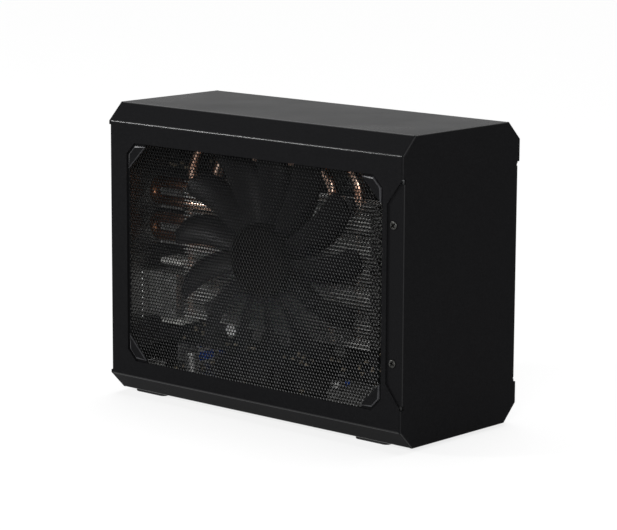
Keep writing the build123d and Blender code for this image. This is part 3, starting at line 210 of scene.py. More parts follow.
# %% Metals
metals = {
    # Dark and a little shiny, so that a screw head shows as a small grey disc
    "zinc_plated_steel": (("#2c2c2b", "#464644"), 0.36, 3.0, 0.25, 0.01),
    # Pale satin, the brightest shells at the rear and behind the mesh
    "tinned_socket_steel": (("#d0d0ce", "#eeeeec"), 0.5, 5.0, 0.4, 0.01),
    # An even middle grey
    "nickel_plated_bracket_steel": (("#6d6d6c", "#787877"), 0.42, 25.0, 0.4, 0.01),
    # Soft pale edges, one beside the other
    "rolled_aluminium": (("#bcbcba", "#dcdcda"), 0.52, 12.0, 1.0, 0.01),
    # Grey without highlights; on all but one of the card's cans it is painted shade
    "dull_cast_aluminium": (("#626261", "#7e7e7d"), 0.6, 6.0, 0.5, 0.02),
    # Bright round tops
    "drawn_aluminium_can": (("#cfcfce", "#ececea"), 0.45, 6.0, 0.5, 0.005),
    # Pale pink with long highlights
    "drawn_copper": (("#d0a088", "#f6d8c4"), 0.26, 9.0, 0.75, 0.01),
    # Brown and duller, on the loops at the rear
    "copper_darker_on_rear_loops": (("#6f4c39", "#94694f"), 0.4, 9.0, 0.75, 0.01),
    # Yellow, with the close shine that a cutting tool leaves
    "turned_brass": (("#a58a4a", "#d0b571"), 0.3, 4.0, 0.33, 0.01),
}
bare = {name: make_finish(name, shades, rough, cloud_mm, cloud_mm, relief_mm, depth, **METAL)
        for name, (shades, rough, cloud_mm, relief_mm, depth) in metals.items()}
(zinc_steel, tinned_steel, nickel_steel, rolled_aluminium, dull_aluminium, can_aluminium, drawn_copper,
 rear_loop_copper, turned_brass) = bare.values()

# A patchwork of crystals, each a little paler or darker and shinier or duller than the next
galvanised, tree, place = new_finish("galvanised_sheet")
SPANGLE, SPANGLE_LIMITS, SPANGLE_ROUGH = 7.0, (0.1, 0.9), (0.38, 0.46)
cells = add(tree, "ShaderNodeTexVoronoi", {"Vector": place, "Scale": 1 / (SPANGLE * MM)})
crystals = cells.outputs["Color"]
coat(tree, ("#949697", "#acaeaf"), SPANGLE_LIMITS, crystals, crystals, SPANGLE_ROUGH, **METAL)
print("metals", list(bare), "and", galvanised.name)

# %% [markdown]
# ## Plastics, boards and rubber
# The fans and sockets are glass-filled moulded plastic with a satin spark-eroded skin, chips are moulded in
# resin, and the feet are plain matte rubber. Each is given by its two shades, its roughness, the grain of
# its skin and its gloss. The boards are glass-fibre laminate under black solder mask, and copper tracks
# under the mask lift it in straight runs, drawn here with stretched square cells. A track is 0.25 mm wide
# or less on a real board, too fine for this picture, so it is drawn at 0.9 mm.

# %% Moulded plastics, solder mask and rubber
MELT_CLOUD, SKIN_DEPTH = 30.0, 0.02
plastics = {
    # Black with a faint satin light along the blades
    "satin_fan_plastic": (("#0b0b0d", "#111114"), 0.38, 0.6, 0.1),
    # Black without any shine
    "matte_hub_plastic": (("#060607", "#0a0a0b"), 0.55, 0.6, 0.0),
    # Dark grey with soft edges of light
    "matte_socket_plastic": (("#161617", "#202022"), 0.5, 0.6, 0.3),
    # Off-white, a little shiny
    "white_socket_plastic": (("#d5d5d0", "#eeeeea"), 0.42, 0.6, 0.45),
    # A clear strong blue
    "blue_contact_plastic": (("#1c4fbe", "#2f6de0"), 0.35, 0.6, 0.45),
    # Charcoal with a dry sheen
    "moulded_chip_resin": (("#1b1b1d", "#29292c"), 0.55, 0.4, 0.45),
    # Soft dull black
    "moulded_rubber": (("#151515", "#1e1e1e"), 0.75, 0.9, 0.3),
    # Small sandy specks on the black boards
    "tan_ceramic": (("#857a69", "#a89c88"), 0.45, 0.6, 0.3),
}
moulded = {name: make_finish(name, shades, rough, MELT_CLOUD, MELT_CLOUD, skin_mm, SKIN_DEPTH,
                             **nonmetal(gloss))
           for name, (shades, rough, skin_mm, gloss) in plastics.items()}
(fan_plastic, hub_plastic, black_plastic, white_plastic, blue_plastic, chip_resin, foot_rubber,
 tan_ceramic) = moulded.values()

# Near black, with the tracks as straight runs a shade lighter
board_mask, tree, place = new_finish("black_solder_mask")
TRACK_WIDTH, TRACKS_IN_A_CELL, TRACK_STRETCH, TRACK_LIFT = 0.9, 4, 0.22, 0.06
TRACK_LIMITS, MASK_ROUGH, MASK_GLOSS = (0.42, 0.5), (0.29, 0.36), 0.2
runs = add(tree, "ShaderNodeMapping", {"Vector": place, "Scale": (1.0, TRACK_STRETCH, 1.0)})
cell_mm = TRACKS_IN_A_CELL * TRACK_WIDTH
tracks = add(tree, "ShaderNodeTexVoronoi", {"Vector": runs, "Scale": 1 / (cell_mm * MM)}, distance="CHEBYCHEV")
coat(tree, ("#101213", "#1d2122"), TRACK_LIMITS, tracks, tracks, MASK_ROUGH, tracks, TRACK_LIFT,
     **nonmetal(MASK_GLOSS))
print("plastics", list(moulded), "and", board_mask.name)

# %% [markdown]
# ## Dressing the CAD nodes
# A node whose solid is already right keeps its mesh and only gets a finish. A few of its faces may get one
# of their own: the folds of the cover and of the end panels, where the coat is smooth, all but one of the
# cans on the card, which are drawn in a darker, duller aluminium as painted shade, one can on the main
# board, which has a black sleeve, and the loops of the heat pipes at the rear, which are drawn in a
# darker, browner copper.

# %% Finish for each node that stays
node_finishes = {
    powder_coat: ["cover", "front_panel", "rear_panel"],
    painted_shade_coat: ["left_mesh_panel", "right_mesh_panel"],
    galvanised: ["chassis_tray", "supply_case"],
    zinc_steel: ["front_screws", "rear_screws", "board_screws", "bracket_screws", "guard_screws",
                 "supply_screws", "small_fan_guard"],
    nickel_steel: ["card_bracket"],
    tinned_steel: ["usb_stack_inner", "usb_stack_outer", "link_port", "wide_video_socket",
                   "slim_video_socket_lower", "slim_video_socket_upper"],
    rolled_aluminium: ["fin_stack"],
    dull_aluminium: ["controller_heatsink"],
    can_aluminium: ["board_capacitors", "card_capacitors"],
    drawn_copper: ["heat_pipes", "cold_plate", "fan_motor"],
    turned_brass: ["board_standoffs", "inlet_pins"],
    fan_plastic: ["fan_rotor", "small_fan_rotor"],
    black_plastic: ["expansion_slot", "card_power_socket", "fan_bracket", "supply_inlet", "small_fan_frame"],
    blue_plastic: ["usb_tongues", "slot_latch"],
    white_plastic: ["wide_socket_ends"],
    chip_resin: ["board_chokes", "processor_package", "memory_chips", "supply_core"],
    board_mask: ["main_board", "graphics_board"],
    foot_rubber: ["foot_front_left", "foot_front_right", "foot_rear_left", "foot_rear_right"],
}
for finish, names in node_finishes.items():
    for name in names:
        nodes[name].data.materials.clear()
        nodes[name].data.materials.append(finish)
print("dressed", sum(len(names) for names in node_finishes.values()), "nodes")


# %% Faces with a finish of their own
def dress_faces(mesh, finish, wanted):
    """Gives one more finish to the faces of a mesh that a test picks, and counts them."""
    mesh.materials.append(finish)
    picked = [face for face in mesh.polygons if wanted(face)]
    for face in picked:
        face.material_index = len(mesh.materials) - 1
    return len(picked)


ALIKE, FLAT, UPRIGHT_SPREAD = 0.03, 0.999, 0.3
BRIGHT_CAN_Y, SLEEVED_CAN_Y, CAN_REACH, DARKER_FROM_Y = 44.8, 18.0, 6.0, 78.0


def on_fold(face):
    """Rounded: neither along an axis nor on a clipped corner. Of an upright rounding, its middle."""
    across, along, high = (abs(part) for part in face.normal)
    clipped_corner = along < ALIKE and abs(across - high) < ALIKE
    upright_side = high < ALIKE and abs(across - along) > UPRIGHT_SPREAD
    return max(across, along, high) < FLAT and not clipped_corner and not upright_side


# Painted shade: every can on the card but the bright one is drawn in the darker aluminium
def on_can_in_painted_shade(face):
    return abs(face.center.y / MM - BRIGHT_CAN_Y) > CAN_REACH


def on_sleeved_can(face):
    return abs(face.center.y / MM - SLEEVED_CAN_Y) < CAN_REACH


def on_rear_loop(face):
    return face.center.y / MM > DARKER_FROM_Y


own_finishes = [(name, fold_coat, on_fold) for name in node_finishes[powder_coat]]
own_finishes += [("heat_pipes", rear_loop_copper, on_rear_loop),
                 ("card_capacitors", dull_aluminium, on_can_in_painted_shade),
                 ("board_capacitors", black_plastic, on_sleeved_can)]
for name, finish, wanted in own_finishes:
    print(name, dress_faces(nodes[name].data, finish, wanted), "faces in", finish.name)

# %% [markdown]
# ## Making meshes and repeating them
# A finished piece is a plain mesh at the origin. Repeats are grown by Geometry Nodes: a tree has named
# inputs for its sizes, and its result is turned into a mesh before the piece is given to its body.

# %% Mesh and tree helpers
def new_piece(name, mesh, body="enclosure", replaced=()):
    """A plain mesh object that rides on a body and hides the CAD nodes it replaces."""
    piece = new_object(name, mesh)
    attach(piece, body)
    if replaced:
        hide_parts(*replaced)


def mesh_from(name, points, faces, smooth=None):
    """A mesh from points in millimetres, with its normals outwards."""
    mesh = bpy.data.meshes.new(name)
    mesh.from_pydata([[value * MM for value in point] for point in points], [], faces)
    shape = bmesh.new()
    shape.from_mesh(mesh)
    bmesh.ops.recalc_face_normals(shape, faces=shape.faces)
    shape.to_mesh(mesh)
    shape.free()
    if smooth is not None:
        mesh.shade_smooth()
        mesh.set_sharp_from_angle(angle=math.radians(smooth))
    return mesh


def new_tree(name, **inputs):
    """A geometry tree with named inputs. Gives the tree, its input node and the inputs' identifiers."""
    tree = bpy.data.node_groups.new(name, "GeometryNodeTree")
    tree.interface.new_socket("Geometry", in_out="INPUT", socket_type="NodeSocketGeometry")
    keys = {key: tree.interface.new_socket(key, in_out="INPUT", socket_type=kind).identifier
            for key, kind in inputs.items()}
    tree.interface.new_socket("Geometry", in_out="OUTPUT", socket_type="NodeSocketGeometry")
    return tree, add(tree, "NodeGroupInput"), keys


WELD_GAP = 0.01


def close_tree(tree, source, geometry, weld=False, edge=None):
    """Ends a tree: real meshes instead of instances, and the material of the piece and of its edges."""
    made = add(tree, "GeometryNodeRealizeInstances", {"Geometry": geometry})
    if weld:
        made = add(tree, "GeometryNodeMergeByDistance", {"Geometry": made, "Distance": WELD_GAP * MM})
    made = add(tree, "GeometryNodeSetMaterial", {"Geometry": made, "Material": source.outputs["Material"]})
    if edge:
        made = add(tree, "GeometryNodeSetMaterial", {"Geometry": made, "Selection": edge,
                                                     "Material": source.outputs["Edge_material"]})
    add(tree, "NodeGroupOutput", {"Geometry": made})


def grow(tree, keys, values, start=None):
    """The plain mesh that a tree makes from its values."""
    seed = new_object("seed", start or bpy.data.meshes.new("start"))
    modifier = seed.modifiers.new("grow", "NODES")
    modifier.node_group = tree
    for key, value in values.items():
        modifier[keys[key]] = value
    result = bpy.data.meshes.new_from_object(seed.evaluated_get(bpy.context.evaluated_depsgraph_get()))
    seed.modifiers.clear()
    bpy.data.objects.remove(seed)
    return result


def triangles(mesh):
    """How many triangles a mesh has."""
    mesh.calc_loop_triangles()
    return len(mesh.loop_triangles)


print("mesh and tree helpers ready")

# %% [markdown]
# ## The perforated windows
# The window is one thin sheet of steel punched with staggered holes about 2 mm apart. Each hole stands in
# the middle of its own six-sided cell, and the cells tile the sheet like a honeycomb, so one small cell is
# all that has to be modelled: a front, a back, and between them the sloping rim that the punch leaves,
# which catches the light. A tree lays out the grid, shifts every second row by half a pitch, and puts a
# cell where its middle lies inside the eight-sided field. So the field ends in a zigzag, as cut sheet does.
# Each window is grown in two halves, to keep the pieces handy.

# %% The cell
WINDOW_LENGTH, WINDOW_HEIGHT, WINDOW_MID_Z = 184.8, 122.4, 82.1
LAND_GAP, LAND_CUT, FIELD_CUT, WINDOW_CUT = 1.3, 5.3, 13.2, 6.2
MESH_OUTER_X, MESH_T, MESH_OVERLAP = 47.0, 0.8, 2.0
HOLE_PITCH, HOLE_WIDTH, SHEET_T = 2.05, 1.42, 0.3
RIM_WIDTH, RIM_SLOPE = 0.2, math.radians(41)
CELL_SIDES = 6

# Rings of a cell, from the back to the front: the cell, the hole twice, the rim and the cell again
rim_back, sheet_back = MESH_T - RIM_WIDTH * math.tan(RIM_SLOPE), MESH_T - SHEET_T
rings = ((HOLE_PITCH, sheet_back, 0.5), (HOLE_WIDTH, sheet_back, 0.0), (HOLE_WIDTH, rim_back, 0.0),
         (HOLE_WIDTH + 2 * RIM_WIDTH, MESH_T, 0.0), (HOLE_PITCH, MESH_T, 0.5))
cell_points, cell_faces = [], []
for width, height, turn in rings:
    for step in range(CELL_SIDES):
        angle, reach = math.tau * (step + turn) / CELL_SIDES, width / math.sqrt(3)
        cell_points.append([v * MM for v in (reach * math.cos(angle), reach * math.sin(angle), height)])
for step in range(CELL_SIDES):
    after = (step + 1) % CELL_SIDES
    starts = range(0, CELL_SIDES * len(rings), CELL_SIDES)
    back, hole, edge, rim, front = ((start + step, start + after) for start in starts)
    cell_faces += [(back[0], hole[0], hole[1]), (back[1], back[0], hole[1])]
    cell_faces += [(low[1], low[0], high[0], high[1]) for low, high in ((hole, edge), (edge, rim))]
    cell_faces += [(rim[0], front[0], rim[1]), (front[0], front[1], rim[1])]
holed_cell = bpy.data.meshes.new("holed_cell")
holed_cell.from_pydata(cell_points, [], cell_faces)
print("cell of", triangles(holed_cell), "triangles")

# %% The honeycomb tree
number, whole, thing, stuff = (f"NodeSocket{kind}" for kind in ("Float", "Int", "Object", "Material"))
comb, source, comb_keys = new_tree(
    "perforated_field", Columns=whole, Rows=whole, Pitch=number, Row_step=number, Half_length=number,
    Half_height=number, Corner=number, End=number, Cell=thing, Material=stuff, Edge_material=stuff)
get = source.outputs
SUM = "ShaderNodeMath"
gaps = [add(comb, SUM, {0: get[key], 1: 1}, operation="SUBTRACT") for key in ("Columns", "Rows")]
spans = [add(comb, SUM, {0: gap, 1: get[key]}, operation="MULTIPLY")
         for gap, key in zip(gaps, ("Pitch", "Row_step"))]
grid = add(comb, "GeometryNodeMeshGrid", {"Size X": spans[0], "Size Y": spans[1],
                                          "Vertices X": get["Columns"], "Vertices Y": get["Rows"]})
row = add(comb, SUM, {0: add(comb, "GeometryNodeInputIndex"), 1: get["Rows"]}, operation="MODULO")
odd = add(comb, SUM, {0: row, 1: 2}, operation="MODULO")
half_pitch = add(comb, SUM, {0: get["Pitch"], 1: 0.5}, operation="MULTIPLY")
along_row = add(comb, SUM, {0: odd, 1: half_pitch}, operation="MULTIPLY")
shift = add(comb, "ShaderNodeCombineXYZ", {"X": along_row})
staggered = add(comb, "GeometryNodeSetPosition", {"Geometry": grid, "Offset": shift})

# Inside when the place is within the length, the height and the clipped corners, and in the half asked for
where = add(comb, "ShaderNodeSeparateXYZ", {"Vector": add(comb, "GeometryNodeInputPosition")}).outputs
far_x, far_y = (add(comb, SUM, {0: where[axis]}, operation="ABSOLUTE") for axis in "XY")
corner = add(comb, SUM, {0: far_x, 1: far_y}, operation="ADD")
quarter_pitch = add(comb, SUM, {0: half_pitch, 1: 0.5}, operation="MULTIPLY")
past_middle = add(comb, SUM, {0: where["X"], 1: quarter_pitch}, operation="SUBTRACT")
other_half = add(comb, SUM, {0: past_middle, 1: get["End"]}, operation="MULTIPLY")
limits = ((far_x, get["Half_length"]), (far_y, get["Half_height"]), (corner, get["Corner"]),
          (other_half, 0.0))
tests = [add(comb, "FunctionNodeCompare", {"A": value, "B": limit}, operation="LESS_EQUAL")
         for value, limit in limits]
inside = tests[0]
for test in tests[1:]:
    inside = add(comb, "FunctionNodeBooleanMath", {0: inside, 1: test}, operation="AND")
cell = add(comb, "GeometryNodeObjectInfo", {"Object": get["Cell"]}).outputs["Geometry"]
copies = add(comb, "GeometryNodeInstanceOnPoints", {"Points": staggered, "Selection": inside,
                                                    "Instance": cell})

# The rims are the faces that are neither level nor upright
RIM_MARGIN = 0.1
slope = add(comb, "ShaderNodeSeparateXYZ", {"Vector": add(comb, "GeometryNodeInputNormal")}).outputs["Z"]
sloping = add(comb, "FunctionNodeCompare", {"A": slope, "B": math.cos(RIM_SLOPE), "Epsilon": RIM_MARGIN},
              operation="EQUAL")
close_tree(comb, source, copies, weld=True, edge=sloping.outputs["Result"])
print("honeycomb tree with", len(comb.nodes), "nodes")

# %% Both halves of the field
half_length = WINDOW_LENGTH / 2 - LAND_GAP
half_height = WINDOW_HEIGHT / 2 - LAND_GAP
field_height = WINDOW_HEIGHT / 2
row_step = HOLE_PITCH * math.sqrt(3) / 2
SPARE_ROWS = 3
cell_source = new_object("cell", holed_cell)
field = {"Columns": 2 * math.ceil(half_length / HOLE_PITCH) + SPARE_ROWS,
         "Rows": 2 * math.ceil(field_height / row_step) + SPARE_ROWS,
         "Pitch": HOLE_PITCH * MM, "Row_step": row_step * MM,
         "Half_length": half_length * MM, "Half_height": field_height * MM,
         "Corner": (half_length + half_height - FIELD_CUT) * MM,
         "Cell": cell_source, "Material": painted_shade_coat, "Edge_material": punched_edge}
field_halves = [grow(comb, comb_keys, {**field, "End": end}) for end in (-1.0, 1.0)]
bpy.data.objects.remove(cell_source)
print("holes in each half", [triangles(half) // triangles(holed_cell) for half in field_halves])

# %% [markdown]
# The sheet also has a plain border that runs behind the cover, and a land pressed out at each corner that
# stands level with the cover. Both are drawn as outlines and given a thickness, and the lands get a soft
# edge that catches the light, whose faces are also drawn a lighter grey as a painted highlight.

# %% Border and corner lands
def clipped(half_y, half_z, cut):
    """Corners of a rectangle with clipped corners, going round once."""
    quarter = [(half_y - cut, half_z), (half_y, half_z - cut)]
    points = quarter + [(y, -z) for y, z in reversed(quarter)]
    return points + [(-y, z) for y, z in reversed(points)]


def plate(outlines, height):
    """Closed plate between an outer and an inner outline with as many corners."""
    outer, inner = outlines
    count = len(outer)
    points = [(*p, z) for z in (0.0, height) for p in outer + inner]
    faces = []
    for step in range(count):
        after = (step + 1) % count
        faces.append((step, after, count + after, count + step))
        faces.append((2 * count + step, 3 * count + step, 3 * count + after, 2 * count + after))
        faces.append((step, 2 * count + step, 2 * count + after, after))
        faces.append((count + step, count + after, 3 * count + after, 3 * count + step))
    return points, faces


BORDER_T, LAND_TOP, LAND_EDGE, LAND_ROUND = 0.3, 0.9, 0.8, 0.3
border_outlines = (clipped(WINDOW_LENGTH / 2 + MESH_OVERLAP, WINDOW_HEIGHT / 2 + MESH_OVERLAP, WINDOW_CUT),
                   clipped(half_length, field_height, FIELD_CUT))
border_points, border_faces = plate(border_outlines, BORDER_T)

# A land: its outline, and rings of it from the foot over the soft edge to the top
outline = [(half_length - FIELD_CUT, half_height), (half_length - LAND_CUT, half_height),
           (half_length, half_height - LAND_CUT), (half_length, half_height - FIELD_CUT)]
corners = len(outline)
middle = [sum(point[axis] for point in outline) / corners for axis in (0, 1)]
land_top, soft_edge = MESH_T + LAND_TOP, LAND_EDGE * LAND_ROUND
levels = ((0.0, BORDER_T), (0.0, land_top - LAND_EDGE), (soft_edge, land_top - soft_edge),
          (LAND_EDGE, land_top))
for y_side in (-1, 1):
    for z_side in (-1, 1):
        first = len(border_points)
        for shrink, height in levels:
            for y, z in outline:
                toward = Vector((middle[0] - y, middle[1] - z))
                y, z = Vector((y, z)) + toward.normalized() * shrink * math.sqrt(2)
                border_points.append((y_side * y, z_side * z, height))
        last = first + corners * (len(levels) - 1)
        for low in range(first, last, corners):
            high = low + corners
            for step in range(corners):
                after = (step + 1) % corners
                border_faces.append((low + step, low + after, high + after, high + step))
        border_faces += [tuple(range(first, first + corners)), tuple(range(last, last + corners))]
print("border and lands", len(border_faces), "faces")

# %% Both windows in their places
UPRIGHT, NEARLY_LEVEL = 0.1, 0.97


def on_pressed_edge(face):
    return UPRIGHT < abs(face.normal.z) < NEARLY_LEVEL


for side, name in ((-1, "left"), (1, "right")):
    inner_x = side * (MESH_OUTER_X - MESH_T) * MM
    onto_side = Matrix(((0, 0, side, inner_x), (side, 0, 0, 0), (0, 1, 0, WINDOW_MID_Z * MM), (0, 0, 0, 1)))
    for number_of_half, half in enumerate(field_halves, 1):
        sheet = half.copy()
        sheet.transform(onto_side)
        new_piece(f"{name}_perforated_field_{number_of_half}", sheet,
                  replaced=[f"{name}_mesh_panel"] if number_of_half == 1 else ())
    rim = mesh_from(f"{name}_window_border", border_points, border_faces)
    rim.materials.append(powder_coat)
    # The pressed edges get the lighter grey coat, a painted highlight
    edges = dress_faces(rim, painted_highlight_coat, on_pressed_edge)
    rim.transform(onto_side)
    new_piece(f"{name}_window_border", rim)
    print(name, "window with", edges, "faces on pressed edges")

# %% [markdown]
# ## The large fan
# A blade is a thin arched section that turns flatter and leans back on its way from hub to tip. Three
# sections are known, at the root, half way and at the tip, and a curve through the three gives every
# section between them. Its edges are thin and its tip is round. A tree sets thirteen copies round the
# hub, which is a profile turned about the axis, with a fine groove near its rim. The blades are satin, and
# the hub has a matte cap, which stays black in any light.

# %% One blade and the hub
FAN_PLACE = (-43.0, -1.5, 87.5)
FAN_BLADES, FAN_PHASE = 13, 20.0
HUB_RADIUS, HUB_DEPTH, HUB_WALL, SHAFT_RADIUS, SHAFT_LENGTH = 20.0, 14.0, 2.0, 1.5, 15.0
ROOT_RADIUS, TIP_RADIUS = 18.5, 67.0
CHORDS, PITCHES, SWEEPS = (12.5, 17.5, 16.0), (42.0, 30.0, 23.0), (0.0, -5.0, -14.0)
SKINS, CAMBERS = (0.9, 0.75, 0.6), (0.8, 1.4, 1.0)
TIP_ROUND, TIP_CHORD = 0.16, 0.3
STATIONS, CHORD_STEPS = 26, 10


def between(values, share):
    """Curve through three values at 0, a half and 1."""
    first, half_way, last = values
    return (first * (1 - share) * (1 - 2 * share) + half_way * 4 * share * (1 - share)
            + last * share * (2 * share - 1))


def blade_ring(share):
    """Points round one section of the blade, about the fan's axis along Z."""
    radius = ROOT_RADIUS + share * (TIP_RADIUS - ROOT_RADIUS)
    pitch, turn = math.radians(between(PITCHES, share)), math.radians(between(SWEEPS, share))
    late = max(0.0, (share - 1 + TIP_ROUND) / TIP_ROUND)
    half_chord = between(CHORDS, share) / 2 * (TIP_CHORD + (1 - TIP_CHORD) * math.sqrt(1 - late ** 2))
    out, along = Vector((math.cos(turn), math.sin(turn), 0)), Vector((-math.sin(turn), math.cos(turn), 0))
    points = []
    for step in range(2 * CHORD_STEPS):
        angle = math.pi * step / CHORD_STEPS
        across = -math.cos(angle)
        u = half_chord * across
        v = between(SKINS, share) * math.sin(angle) - between(CAMBERS, share) * (1 - across ** 2)
        flat, deep = u * math.cos(pitch) - v * math.sin(pitch), u * math.sin(pitch) + v * math.cos(pitch)
        points.append(out * radius + along * flat + Vector((0, 0, HUB_DEPTH / 2 + deep)))
    return points


def skin_of(rings):
    """Faces between rings of points, with both ends closed."""
    count = len(rings[0])
    faces = [tuple(range(count)), tuple(range(count * (len(rings) - 1), count * len(rings)))]
    for ring in range(len(rings) - 1):
        for step in range(count):
            after = (step + 1) % count
            low, high = count * ring, count * (ring + 1)
            faces.append((low + step, low + after, high + after, high + step))
    return [point for ring in rings for point in ring], faces


def turned(profile, sides):
    """Rings of a profile of radius and height, turned about Z."""
    angles = [math.tau * step / sides for step in range(sides)]
    return [[(radius * math.cos(angle), radius * math.sin(angle), height) for angle in angles]
            for radius, height in profile]


blade = mesh_from("blade", *skin_of([blade_ring(step / STATIONS) for step in range(STATIONS + 1)]), smooth=50)

# The hub's profile: its middle, the groove, the rounded rim, the cup behind it and the shaft
POINT, HUB_SIDES = 0.02, 96
hub_inside = HUB_RADIUS - HUB_WALL
groove = [(17.0, 0.0), (17.2, 0.35), (17.9, 0.35), (18.1, 0.0)]
rounded_rim = [(18.8, 0.0), (19.4, 0.16), (19.84, 0.6), (HUB_RADIUS, 1.2)]
cup = [(HUB_RADIUS, HUB_DEPTH), (hub_inside, HUB_DEPTH), (hub_inside, HUB_WALL), (SHAFT_RADIUS, HUB_WALL)]
shaft = [(SHAFT_RADIUS, SHAFT_LENGTH), (POINT, SHAFT_LENGTH)]
hub_profile = [(POINT, 0.0)] + groove + rounded_rim + cup + shaft
hub = mesh_from("hub", *skin_of(turned(hub_profile, HUB_SIDES)), smooth=40)
print("blade", triangles(blade), "hub", triangles(hub), "triangles")

# %% Thirteen blades round the hub
around, source, around_keys = new_tree("copies_round_an_axis", Count=whole, Phase=number, Shape=thing,
                                       Material=stuff)
get = source.outputs
spots = add(around, "GeometryNodePoints", {"Count": get["Count"]})
share = add(around, SUM, {0: add(around, "GeometryNodeInputIndex"), 1: get["Count"]}, operation="DIVIDE")
turn = add(around, SUM, {0: share, 1: math.tau, 2: get["Phase"]}, operation="MULTIPLY_ADD")
spin = add(around, "FunctionNodeAxisAngleToRotation", {"Axis": (0, 0, 1), "Angle": turn})
shape = add(around, "GeometryNodeObjectInfo", {"Object": get["Shape"]}).outputs["Geometry"]
copies = add(around, "GeometryNodeInstanceOnPoints", {"Points": spots, "Instance": shape, "Rotation": spin})
joined = add(around, "GeometryNodeJoinGeometry", {"Geometry": get["Geometry"]})
around.links.new(copies.outputs["Instances"], joined.inputs["Geometry"])
close_tree(around, source, joined)

blade_source = new_object("blade", blade)
impeller = grow(around, around_keys, {"Count": FAN_BLADES, "Phase": math.radians(FAN_PHASE),
                                      "Shape": blade_source, "Material": fan_plastic}, hub)
bpy.data.objects.remove(blade_source)


def on_hub(face):
    return math.hypot(face.center.x, face.center.y) < HUB_RADIUS * MM


hub_faces = dress_faces(impeller, hub_plastic, on_hub)
fan_x, fan_y, fan_z = (value * MM for value in FAN_PLACE)
impeller.transform(Matrix(((0, 0, 1, fan_x), (1, 0, 0, fan_y), (0, 1, 0, fan_z), (0, 0, 0, 1))))
new_piece("large_impeller", impeller, body="large_fan", replaced=["fan_rotor"])
print("impeller", triangles(impeller), "triangles,", hub_faces, "faces on the hub")

# %% [markdown]
# ## Cross-headed screws
# Every screw is the same: a low domed head with a cross pressed into it, on a plain shank. The cross is a
# dip in the head's height, deepest in the middle, and its faces are marked, so that the tree can give them
# a flat black, since on the real screw hardly any light gets into it. The tree puts a screw at each point
# of a mesh, along the direction stored with the point, and turns each one about itself by a seeded random
# angle, since no two stop at the same turn.

# %% The screw
HEAD_RADIUS, HEAD_HEIGHT, SHANK_RADIUS, SHANK_LENGTH = 2.2, 0.9, 1.25, 3.2
CROSS_HALF_WIDTH, CROSS_REACH, CROSS_DEPTH, CROSS_TAPER = 0.36, 1.5, 0.85, 0.6
DOME_FALL, SCREW_SIDES, RECESS_STEP = 0.12, 48, 0.2
HEAD_RADII = (POINT, 0.15, 0.35, 0.37, 0.45, 0.55, 0.7, 0.85, 1.0, 1.15, 1.3, 1.49, 1.51, 1.75)


def head_height(x, y):
    """Height of the domed head, with its cross."""
    far, near = max(abs(x), abs(y)), min(abs(x), abs(y))
    dip = 0.0
    if far < CROSS_REACH and near < CROSS_HALF_WIDTH:
        dip = CROSS_DEPTH * (1 - CROSS_TAPER * far / CROSS_REACH)
    return HEAD_HEIGHT - DOME_FALL * (math.hypot(x, y) / HEAD_RADIUS) ** 2 - dip


head_rings = [[(x, y, head_height(x, y)) for x, y, _ in ring]
              for ring in turned([(radius, 0) for radius in HEAD_RADII], SCREW_SIDES)]
head_rim = [(2.0, 0.68), (2.14, 0.56), (HEAD_RADIUS, 0.4), (HEAD_RADIUS, 0.0)]
shank = [(SHANK_RADIUS, 0.0), (SHANK_RADIUS, -SHANK_LENGTH)]
screw = mesh_from("screw", *skin_of(head_rings + turned(head_rim + shank, SCREW_SIDES)), smooth=35)
recess = screw.attributes.new("recess", "BOOLEAN", "FACE")
for face, mark in zip(screw.polygons, recess.data):
    x, y, z = (value / MM for value in face.center)
    mark.value = math.hypot(x, y) < CROSS_REACH and 0 < z < HEAD_HEIGHT - RECESS_STEP
print("screw", triangles(screw), "triangles")

# %% A tree that sets shapes on points
set_on, source, set_on_keys = new_tree("shapes_on_points", Shape=thing, Twist=number, Seed=whole,
                                       Material=stuff, Edge_material=stuff)
get = source.outputs
facing, scale = (add(set_on, "GeometryNodeInputNamedAttribute", {"Name": name}, data_type="FLOAT_VECTOR")
                 for name in ("facing", "size"))
aimed = add(set_on, "FunctionNodeAlignRotationToVector", {"Vector": facing.outputs["Attribute"]}, axis="Z")
chance = add(set_on, "FunctionNodeRandomValue", {"Max": get["Twist"], "Seed": get["Seed"]}, data_type="FLOAT")
twist = add(set_on, "FunctionNodeAxisAngleToRotation", {"Axis": (0, 0, 1), "Angle": chance.outputs["Value"]})
twisted = add(set_on, "FunctionNodeRotateRotation", {"Rotation": aimed, "Rotate By": twist},
              rotation_space="LOCAL")
shape = add(set_on, "GeometryNodeObjectInfo", {"Object": get["Shape"]}).outputs["Geometry"]
copies = add(set_on, "GeometryNodeInstanceOnPoints", {
    "Points": get["Geometry"], "Instance": shape, "Rotation": twisted, "Scale": scale.outputs["Attribute"]})
in_recess = add(set_on, "GeometryNodeInputNamedAttribute", {"Name": "recess"}, data_type="BOOLEAN")
close_tree(set_on, source, copies, edge=in_recess.outputs["Attribute"])


def set_on_points(name, shape_mesh, spots, material, recess_material=None, twist=0.0, seed=1,
                  replaced=()):
    """A piece with copies of a shape at spots, each a place, a facing and a size."""
    base = bpy.data.meshes.new("spots")
    base.from_pydata([[value * MM for value in place] for place, _, _ in spots], [], [])
    for key, column in (("facing", 1), ("size", 2)):
        layer = base.attributes.new(key, "FLOAT_VECTOR", "POINT")
        for item, spot in zip(layer.data, spots):
            item.vector = spot[column]
    held = new_object(name, shape_mesh)
    made = grow(set_on, set_on_keys, {"Shape": held, "Twist": twist, "Seed": seed, "Material": material,
                                      "Edge_material": recess_material or material}, base)
    bpy.data.objects.remove(held)
    new_piece(name, made, replaced=replaced)
    print(name, len(spots), "copies,", triangles(made), "triangles")


print("tree for shapes on points with", len(set_on.nodes), "nodes")

